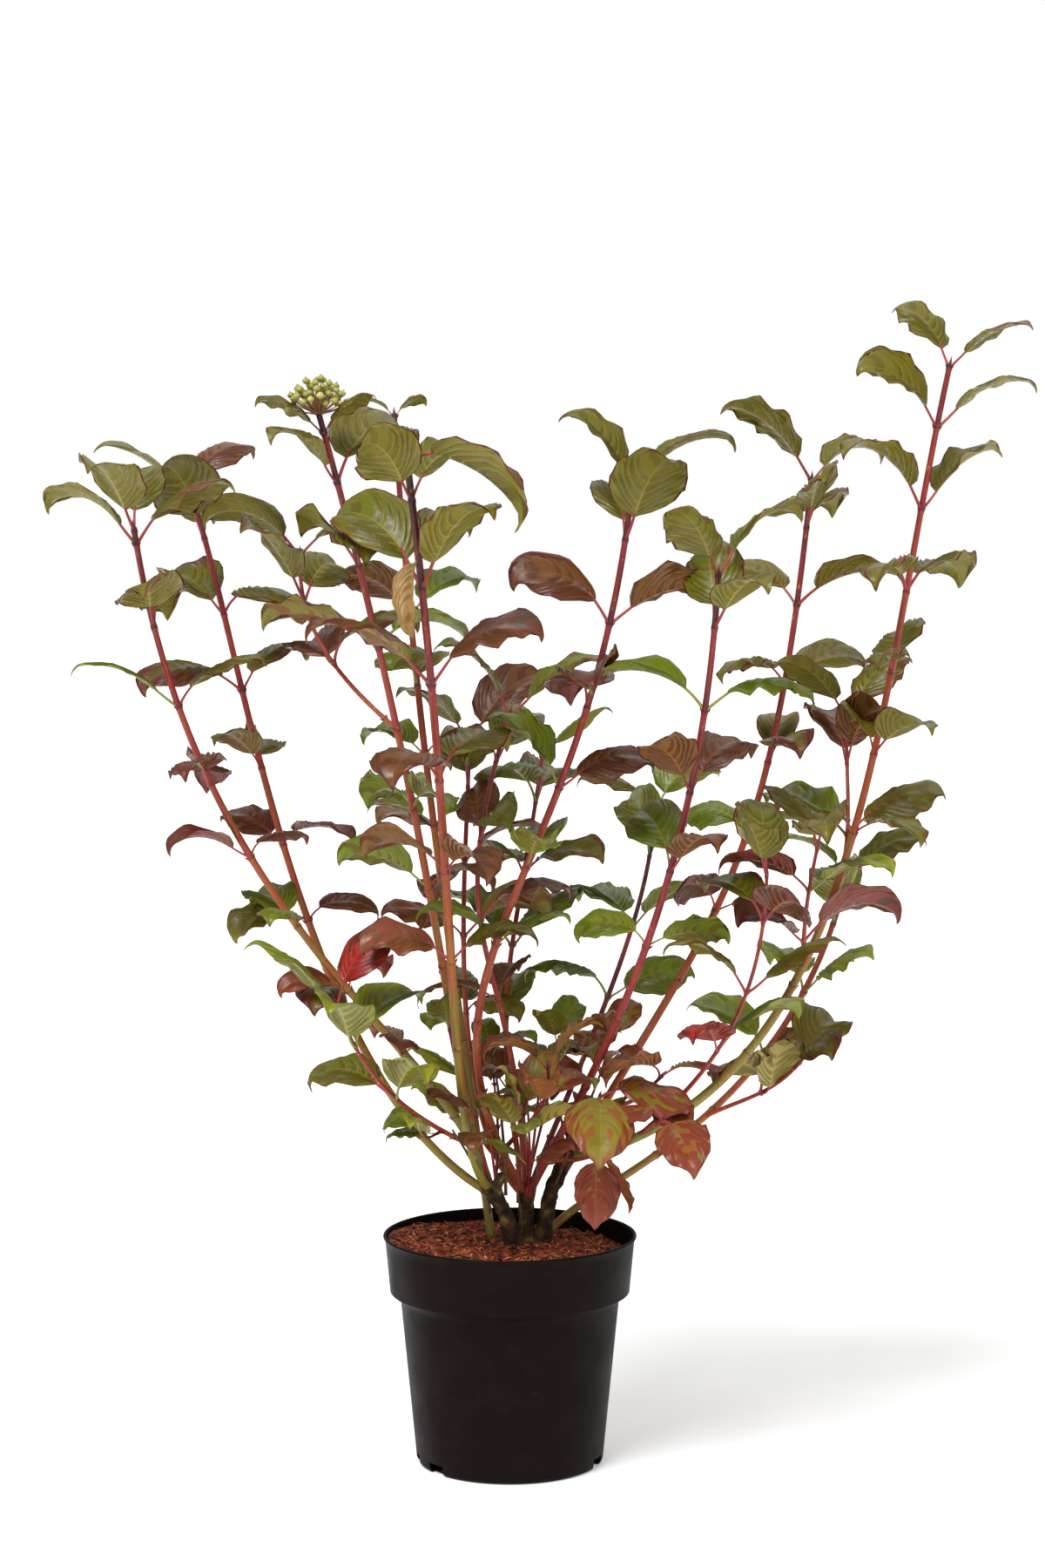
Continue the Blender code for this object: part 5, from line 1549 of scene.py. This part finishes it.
# The kinds and their shares above each height, from the top down.
TIERS = (
    (0.88, {"olive": 0.44, "moss": 0.34, "turning": 0.14, "bronze": 0.08}),
    (0.68, {"olive": 0.34, "moss": 0.20, "green": 0.20, "turning": 0.16, "bronze": 0.10}),
    (0.50, {"green": 0.30, "moss": 0.16, "olive": 0.14, "fresh": 0.08, "bronze": 0.16, "turning": 0.16}),
    (0.00, {
        "fresh": 0.26, "green": 0.14, "moss": 0.12, "turning": 0.14,
        "bronze": 0.09, "yellow": 0.15, "rusty": 0.10,
    }),
)
# Places where a whole spray has turned: x, z, reach, kind.
TURNED = (
    (-0.092, 0.531, 0.015, "rose"), (-0.120, 0.520, 0.042, "crimson"),
    (-0.195, 0.600, 0.045, "wine"), (0.150, 0.380, 0.050, "rusty"),
    (0.205, 0.345, 0.050, "yellow"), (0.190, 0.430, 0.035, "crimson"), (0.275, 0.575, 0.040, "wine"),
    (0.105, 0.783, 0.030, "wine"), (0.070, 0.864, 0.034, "bronze"), (-0.045, 0.808, 0.034, "rose"),
    (-0.150, 0.808, 0.040, "turning"), (-0.150, 0.838, 0.045, "bronze"), (-0.300, 0.670, 0.040, "wine"),
    (-0.050, 0.586, 0.035, "bronze"), (0.090, 0.300, 0.050, "rusty"), (0.180, 0.720, 0.035, "bronze"),
    (0.080, 0.370, 0.040, "yellow"), (-0.107, 0.342, 0.050, "fresh"), (0.279, 0.430, 0.050, "fresh"),
    (0.345, 0.610, 0.040, "fresh"), (0.199, 0.790, 0.032, "green"), (-0.120, 0.693, 0.035, "fresh"),
    (-0.146, 0.657, 0.030, "bronze"), (0.106, 0.620, 0.030, "wine"), (-0.200, 0.700, 0.030, "bronze"),
)
# How often a leaf keeps the kind of the leaf above it, and how far out from its node its spot is read.
SPRAY_HOLDS, SPOT_REACH = 0.55, 0.04

print(len(KINDS), "kinds of leaf in", len(TIERS), "tiers")


# %% Deal the kinds
def kind_for(leaf, rng, held):
    """The kind of a leaf: that of a turned spray it stands in, or its spray's, or a new draw by height."""
    x, z = leaf.node[0] + SPOT_REACH * math.cos(leaf.bearing), leaf.node[2]
    for spot_x, spot_z, reach, kind in TURNED:
        if math.hypot(x - spot_x, z - spot_z) < reach:
            return kind
    if held and rng.random() < SPRAY_HOLDS:
        return held
    shares = next(kinds for height, kinds in TIERS if z >= height)
    return rng.choices(list(shares), list(shares.values()))[0]


# The leaves above HIGH are a little larger, as the tips of the canes have the broadest leaves.
HIGH, HIGH_SIZE = 0.72, 1.07
sprays, kinds = [], []
for limb_name, found in leaves.items():
    deal = random.Random(limb_name + " tint")
    held = None
    for leaf in found:
        held = kind_for(leaf, deal, held)
        sprays.append(leaf._replace(length=leaf.length * (HIGH_SIZE if leaf.node[2] > HIGH else 1.0)))
        kinds.append(held)
print({kind: kinds.count(kind) for kind in KINDS if kind in kinds})

# %% [markdown]
# One dried, pale leaf still hangs on the front cane, folded shut along its midrib. It is the last leaf of
# the list, and its fold and width replace the drawn ones.

# %% The dried leaf, and every blade's grid
DRY_HEIGHT, DRY_LEAN, DRY_LENGTH, DRY_FOLD, DRY_WIDTH = 0.922, (-20, -30), 0.074, 1.9, 0.30
DRY_BEARING, DRY_RISE, DRY_DROOP, DRY_ROLL = np.radians((246.0, -78.0, 14.0, 10.0)).tolist()
FOLDS, WIDTHS = (0.02, 0.34), (0.56, 0.70)
front_path = paths["front"]
dry_place = np.interp(DRY_HEIGHT, front_path[:, 2], distances_of(front_path))
dry_node = point_at(front_path, dry_place)
sprays.append(Leaf(dry_node, direction(DRY_LEAN), DRY_BEARING, DRY_RISE, DRY_DROOP, DRY_ROLL, DRY_LENGTH))
kinds.append("dry")
leaf_rng = np.random.default_rng(5)
count = len(sprays)
fold_of, width_of = leaf_rng.uniform(*FOLDS, count), leaf_rng.uniform(*WIDTHS, count)
fold_of[-1], width_of[-1] = DRY_FOLD, DRY_WIDTH
upper, lower, stalk_parts = blade_grids(sprays, fold_of, width_of, leaf_rng)
print("blades:", upper.shape)

# %% [markdown]
# How far a cell has turned grows from the midrib out and from the base to the tip, and a little by
# chance for each panel between two veins. A leaf's own start decides how much of it is blade, mixed tone
# and tint. Veins and the edge then take their own colours. The fold just above each vein takes a darker
# one, painted shade on the slope from the vein up to the puff beyond it.

# %% A colour for every cell
TURN_OUT, TURN_ALONG, PANEL_CHANCE = 0.55, 0.45, 0.12
STARTS, MIXED_BAND = (0.42, 0.95), 0.16
MOTTLED, MOTTLE, MOTTLE_START = ("yellow", "rusty", "crimson"), 0.26, 1.3
# Past this share of its length a fold gets no painted shade, and past this share of the way out a cell is
# edge.
FOLD_SHADE_END, EDGE_START = 0.9, 0.9

kind_table = np.array([[colour_names.index(name) for name in KINDS[kind].split()] for kind in kinds])
face_share = (share_along[1:, 1:] + share_along[:-1, :-1]) / 2
face_out = (out[:, 1:] + out[:, :-1]) / 2
panels = leaf_rng.uniform(-PANEL_CHANCE, PANEL_CHANCE, (count, len(VEINS) + 1, 2))
panel_of_row = np.cumsum(vein_strip[:, 0])
side_of_column = (COLUMN_SIDES[1:] > 0).astype(int)
turned_far = TURN_OUT * face_out + TURN_ALONG * face_share + panels[:, panel_of_row][:, :, side_of_column]
mottled = np.array([MOTTLE if kind in MOTTLED else 0.0 for kind in kinds])[:, None, None]
turned_far += mottled * leaf_rng.uniform(-1.0, 1.0, turned_far.shape)
begins = leaf_rng.uniform(*STARTS, count)[:, None, None] - MOTTLE_START * mottled
level = (turned_far > begins).astype(int) + (turned_far > begins + MIXED_BAND)
# The folds, darkened as painted shade, are the cells just above a vein: past the base rows, those are
# every third row of cells.
is_shaded_fold = (np.arange(BLADE_ROWS - 1) % 3 == len(BASE_ROWS) % 3 + 1)[:, None] & (face_share < FOLD_SHADE_END)
is_vein = np.broadcast_to(vein_strip, level.shape[1:]) & (face_out < EDGE_START) | (face_out == 0.0)
is_edge = np.broadcast_to(face_out > EDGE_START, level.shape[1:])
# A fold of blade takes the kind's colour of painted shade, on the upper face and on the lower.
part = np.select([level == 0, level == 1], [np.where(is_shaded_fold, FOLD_SHADE, BLADE), MIXED], TINT)
part = np.where(is_vein, VEIN, np.where(is_edge, EDGE, part))
under = np.where(is_vein, UNDER_VEIN, np.where(is_edge, EDGE, np.where(is_shaded_fold, UNDER_FOLD_SHADE, UNDER)))
under = np.broadcast_to(under, part.shape)
top_finish, low_finish = (
    np.take_along_axis(kind_table, which.reshape(count, -1), axis=1).reshape(part.shape)
    for which in (part, under)
)
print("cells of blade, mixed tone and tint:", [int((level == number).sum()) for number in range(3)])

# %% [markdown]
# The blades are shared out among three pieces, so that none grows past 200,000 triangles. The upper
# face's quads run the other way round, so that both faces point outwards.

# %% The leaves as pieces
lower_faces = grid_faces(BLADE_ROWS, BLADE_COLUMNS, False)
upper_faces = lower_faces[:, [0, 3, 2, 1]]
third = count // 3
for piece_name, chosen, nodes in (
    ("leaves_left", slice(0, third), leafy_nodes), ("leaves_centre", slice(third, 2 * third), ()),
    ("leaves_right", slice(2 * third, count), ()),
):
    leaf_pile = Pile()
    leaf_pile.add(upper[chosen], False, top_finish[chosen].reshape(-1, len(upper_faces)), upper_faces)
    leaf_pile.add(lower[chosen], False, low_finish[chosen].reshape(-1, len(lower_faces)), lower_faces)
    leaf_pile.piece(piece_name, leaf_finishes, nodes)

# %% [markdown]
# ## Stalks, buds and sticks
# A red stalk carries each blade, and a small pointed bud sits where it leaves the cane. Many lines can
# be swept into tubes in one go, if each carries a side vector that is made square to it.

# %% Sweep many lines at once
def swept(lines, radii, sides, hints):
    """Tubes round many lines: lines is (n, k, 3), radii (n, k), and hints (n, 3) a side for each line."""
    ways = np.gradient(lines, axis=1)
    ways /= np.linalg.norm(ways, axis=2)[..., None]
    side = hints[:, None] - ways * (hints[:, None] * ways).sum(axis=2)[..., None]
    side /= np.linalg.norm(side, axis=2)[..., None]
    up = np.cross(ways, side)
    angles = np.arange(sides) * 2 * math.pi / sides
    spokes = np.cos(angles)[:, None] * side[:, :, None] + np.sin(angles)[:, None] * up[:, :, None]
    rings = lines[:, :, None] + spokes * radii[..., None, None]
    first = np.broadcast_to(lines[:, :1, None], rings[:, :1].shape)
    last = np.broadcast_to(lines[:, -1:, None], rings[:, :1].shape)
    return np.concatenate((first, rings, last), axis=1)


def bowed(start, middle, end, count):
    """Lines of a quadratic curve: (1-t)^2 start + 2t(1-t) middle + t^2 end."""
    t = np.linspace(0.0, 1.0, count)[None, :, None]
    return (1 - t) ** 2 * start[:, None] + 2 * t * (1 - t) * middle[:, None] + t**2 * end[:, None]


trial_line = bowed(*np.eye(3)[:, None], 9)[0]
print("a line bowed between the axes is", round(float(distances_of(trial_line)[-1]), 3), "long")

# %% Leaf stalks
STALK_POINTS, STALK_SIDES, STALK_INTO_RIB = 8, 7, 0.010
STALK_AT, STALK_RADII = (0, 0.12, 0.5, 1), (0.0025, 0.0016, 0.00135, 0.0012)
GREEN_STALKED = ("green", "fresh", "dry")
GREEN, RED, MAROON = range(3)

node, elbow, base, across, start = stalk_parts
lengths = np.array([leaf.length for leaf in sprays]) / LEAF_LENGTH
into_rib = base + start * (STALK_INTO_RIB * lengths)[:, None]
stalk_lines = bowed(node, elbow, into_rib, STALK_POINTS)
stalk_radii = lengths[:, None] * np.interp(np.linspace(0, 1, STALK_POINTS), STALK_AT, STALK_RADII)
stalk_pile = Pile()
stalk_colour = np.array([GREEN if kind in GREEN_STALKED else RED for kind in kinds])
stalk_pile.add(swept(stalk_lines, stalk_radii, STALK_SIDES, across), finish=stalk_colour[:, None])
print("stalks:", len(stalk_lines))

# %% Buds, in pairs at every ring and one at most tips
BUD_SLANT, BUD_OUT, BUD_UP = 0.45, 1.05, 0.0022
BUD_LENGTH, BUD_WIDTH, BUD_DEPTH, BUD_SIZES = 0.0062, 0.0011, 0.0009, (0.7, 1.25)
BUD_PROFILE, BUD_SIDES = (0.0, 0.75, 1.0, 0.72, 0.30, 0.0), 6
TIP_LENGTH, TIP_WIDTH, TIP_DEPTH, TIP_UP = 0.012, 0.0019, 0.0015, 0.003
TIP_PROFILE, TIP_SIDES, BUDDED_BELOW = (0.0, 0.85, 1.0, 0.62, 0.25, 0.0), 8, 0.01
bud_points, bud_ways = [], []
for limb_name, limb in LIMBS.items():
    if limb.parts == 0:
        continue
    for number, place in enumerate(ring_places(limb, totals[limb_name])):
        point, way = (each[0] for each in along_curve(limb_name, np.array((place,))))
        bearing = math.radians(limb.spin + limb.turn * number)
        for side in (0, math.pi):
            square = np.array((math.cos(bearing + side), math.sin(bearing + side), 0.0))
            square -= way * (square @ way)
            square /= np.linalg.norm(square)
            radius = np.interp(place, (0, totals[limb_name]), limb.radius)
            slant = square * BUD_SLANT + way
            bud_ways.append(slant / np.linalg.norm(slant))
            bud_points.append(point + square * radius * BUD_OUT + bud_ways[-1] * BUD_UP)
bud_points, bud_ways = np.array(bud_points), np.array(bud_ways)
bud_sizes = np.random.default_rng(2).uniform(*BUD_SIZES, len(bud_points))
buds = spindles(
    bud_points, bud_ways, BUD_LENGTH * bud_sizes, BUD_WIDTH * bud_sizes, BUD_DEPTH * bud_sizes,
    BUD_PROFILE, sides=BUD_SIDES,
)
stalk_pile.add(buds, finish=MAROON)
tips = [name for name, limb in LIMBS.items() if limb.parts and limb.bud < BUDDED_BELOW]
tip_points = np.array([paths[name][-1] for name in tips])
tip_ways = np.array([axis_at(paths[name], totals[name]) for name in tips])
tip_buds = spindles(
    tip_points + tip_ways * TIP_UP, tip_ways, TIP_LENGTH, TIP_WIDTH, TIP_DEPTH, TIP_PROFILE, sides=TIP_SIDES
)
stalk_pile.add(tip_buds, finish=MAROON)
stalk_finishes = []
for finish_name, shade in (
    ("stalk_green", (140, 138, 62)), ("stalk_red", (158, 56, 54)), ("bud_maroon", (108, 40, 38)),
):
    finish = Finish(finish_name, ink(*shade), roughness=0.45)
    finish.wire(Roughness=finish.spread(finish.grain(220.0), 0.36, 0.56))
    finish.bump(finish.grain(600.0, stretch=(1.0, 1.0, 0.3)), strength=0.2, distance=0.0004)
    stalk_finishes.append(finish.material)
stalk_pile.piece("leaf_stalks", stalk_finishes)

# %% [markdown]
# Among the living canes stand thin dead sticks and the red stumps of cut shoots. They bow a little and
# are lumpy, and each is written down by its two ends.

# %% Dead sticks and cut stubs
DEAD, CUT = range(2)
STICK_POINTS, STICK_SIDES, STICK_LUMP = 12, 8, 0.12
STICK_BOW, STICK_HINT = (0.004, 0.003, 0.0), (1.0, 0.2, 0.0)
# Each: start, end, radius at both, and whether it is dead or cut.
STICKS = (
    ((-0.004, -0.022, 0.280), (-0.014, -0.040, 0.408), (0.0019, 0.0013), DEAD),
    ((0.016, 0.000, 0.272), (0.031, -0.026, 0.412), (0.0018, 0.0011), CUT),
    ((0.022, -0.004, 0.262), (0.028, -0.030, 0.322), (0.0014, 0.0010), DEAD),
    ((0.012, -0.008, 0.232), (0.006, -0.034, 0.292), (0.0011, 0.0008), DEAD),
    ((-0.020, -0.020, 0.262), (-0.034, -0.052, 0.322), (0.0016, 0.0011), DEAD),
    ((0.054, 0.012, 0.300), (0.052, -0.014, 0.362), (0.0017, 0.0012), CUT),
    ((0.044, 0.006, 0.280), (0.060, -0.020, 0.330), (0.0015, 0.0010), DEAD),
    ((-0.012, -0.024, 0.272), (-0.030, -0.050, 0.392), (0.0018, 0.0012), CUT),
    ((0.008, -0.010, 0.270), (0.002, -0.052, 0.372), (0.0016, 0.0010), CUT),
    ((0.020, 0.006, 0.270), (0.016, -0.012, 0.398), (0.0017, 0.0011), CUT),
    ((0.050, 0.008, 0.296), (0.078, -0.030, 0.372), (0.0016, 0.0010), CUT),
    ((-0.018, -0.020, 0.272), (-0.058, -0.046, 0.352), (0.0016, 0.0011), DEAD),
)
stick_starts, stick_ends = (np.array([stick[i] for stick in STICKS]) for i in (0, 1))
stick_middle = (stick_starts + stick_ends) / 2 + np.array(STICK_BOW)
stick_lines = bowed(stick_starts, stick_middle, stick_ends, STICK_POINTS)
stick_radii = np.array([np.linspace(*stick[2], STICK_POINTS) for stick in STICKS])
which, share = np.arange(len(STICKS))[:, None] / 9, np.linspace(0, 1, STICK_POINTS)[None]
stick_radii *= 1 + STICK_LUMP * lattice_noise(which, share, 9, 6, seed=8)
stick_pile = Pile()
stick_hints = np.tile(STICK_HINT, (len(STICKS), 1))
stick_colour = np.array([stick[3] for stick in STICKS])[:, None]
stick_pile.add(swept(stick_lines, stick_radii, STICK_SIDES, stick_hints), finish=stick_colour)
stick_finishes = []
for finish_name, shade in (("dead_stick", (96, 70, 46)), ("red_stub", (150, 52, 44))):
    finish = Finish(finish_name, ink(*shade), roughness=0.7)
    finish.wire(Roughness=finish.spread(finish.grain(200.0), 0.55, 0.85))
    finish.bump(finish.grain(420.0, stretch=(1.0, 1.0, 0.25)), strength=0.6, distance=0.0008)
    stick_finishes.append(finish.material)
stick_pile.piece("sticks", stick_finishes)

# %% [markdown]
# ## Fruit
# One cane ends in a flat head of small pale berries, each on its own thin stalk. The berries follow the
# same golden-angle rule as those of the solid, but are five times as many, smaller, and in three layers.
# Each has a dark eye at its top, where the flower sat.

# %% Berries
FINE_BERRIES, FINE_RADIUS, FINE_REACH, FINE_DOME, LAYER_DROP = 60, 0.0037, 0.0290, 0.012, 0.0052
LAYERS, FINE_LIFT, BERRY_SINKS, BERRY_SIZES = 3, 0.004, 0.0015, (0.85, 1.12)
RAY_START, RAY_BEND, RAY_END, RAY_HINT = 0.002, (0.55, 0.55, 0.35), (0, 0, 0.002), (0.3, 1.0, 0.1)
RAY_POINTS, RAY_SIDES, RAY_AT, RAY_RADII = 7, 6, (0, 0.4, 1), (0.0013, 0.0007, 0.00045)
BALL_RINGS, BALL_SIDES, BERRY_LEAN, CREAM_SHARE = 9, 12, 0.5, 0.3
EYE_LENGTH, EYE_RADIUS, EYE_PROFILE, EYE_SIDES = 0.0014, 0.0006, (0, 1, 0.8, 0), 5
PALE_GREEN, CREAM, RAY, EYE = range(4)
berry_rng = np.random.default_rng(9)
berries_at = fruit_places(FINE_BERRIES, FINE_REACH)
reach = np.hypot(*(berries_at - paths["berry"][-1])[:, :2].T) / FINE_REACH
berries_at[:, 2] += FINE_LIFT - FINE_DOME * reach**2 - (np.arange(FINE_BERRIES) % LAYERS) * LAYER_DROP
berries_at[:, 2] -= berry_rng.uniform(0, BERRY_SINKS, FINE_BERRIES)
berry_tip = point_at(paths["berry"], totals["berry"] - RAY_START)
ray = berries_at - berry_tip
berry_middle = berry_tip + ray * np.array(RAY_BEND)
ray_starts = np.tile(berry_tip, (FINE_BERRIES, 1))
ray_lines = bowed(ray_starts, berry_middle, berries_at - np.array(RAY_END), RAY_POINTS)
ray_radii = np.tile(np.interp(np.linspace(0, 1, RAY_POINTS), RAY_AT, RAY_RADII), (FINE_BERRIES, 1))
ball = np.sin(np.linspace(0.0, math.pi, BALL_RINGS))
ways = ray / np.linalg.norm(ray, axis=1)[:, None]
sizes = berry_rng.uniform(*BERRY_SIZES, FINE_BERRIES) * FINE_RADIUS
print("berries:", len(berries_at), "on", len(ray_lines), "stalks")

# %% Berries as a piece
fruit_pile = Pile()
fruit_pile.add(swept(ray_lines, ray_radii, RAY_SIDES, np.tile(RAY_HINT, (FINE_BERRIES, 1))), finish=RAY)
berry_axes = np.tile((0.0, 0.0, 1.0), (FINE_BERRIES, 1)) + BERRY_LEAN * ways
berry_axes /= np.linalg.norm(berry_axes, axis=1)[:, None]
fruit_pile.add(
    spindles(berries_at, berry_axes, 2.0 * sizes, sizes, sizes, ball, sides=BALL_SIDES),
    finish=berry_rng.choice((PALE_GREEN, CREAM), (FINE_BERRIES, 1), p=(1 - CREAM_SHARE, CREAM_SHARE)),
)
eyes_at = berries_at + berry_axes * sizes[:, None]
eyes = spindles(eyes_at, berry_axes, EYE_LENGTH, EYE_RADIUS, EYE_RADIUS, EYE_PROFILE, sides=EYE_SIDES)
fruit_pile.add(eyes, finish=EYE)
fruit_finishes = []
for finish_name, shade in (
    ("berry_green", (160, 158, 70)), ("berry_cream", (190, 182, 102)), ("berry_stalk", (158, 116, 74)),
    ("berry_eye", (92, 72, 40)),
):
    finish = Finish(finish_name, ink(*shade), roughness=0.35)
    finish.wire(Roughness=finish.spread(finish.grain(240.0), 0.28, 0.48))
    finish.bump(finish.grain(500.0), strength=0.15, distance=0.0004)
    fruit_finishes.append(finish.material)
fruit_pile.piece("pale_berries", fruit_finishes)

# %% [markdown]
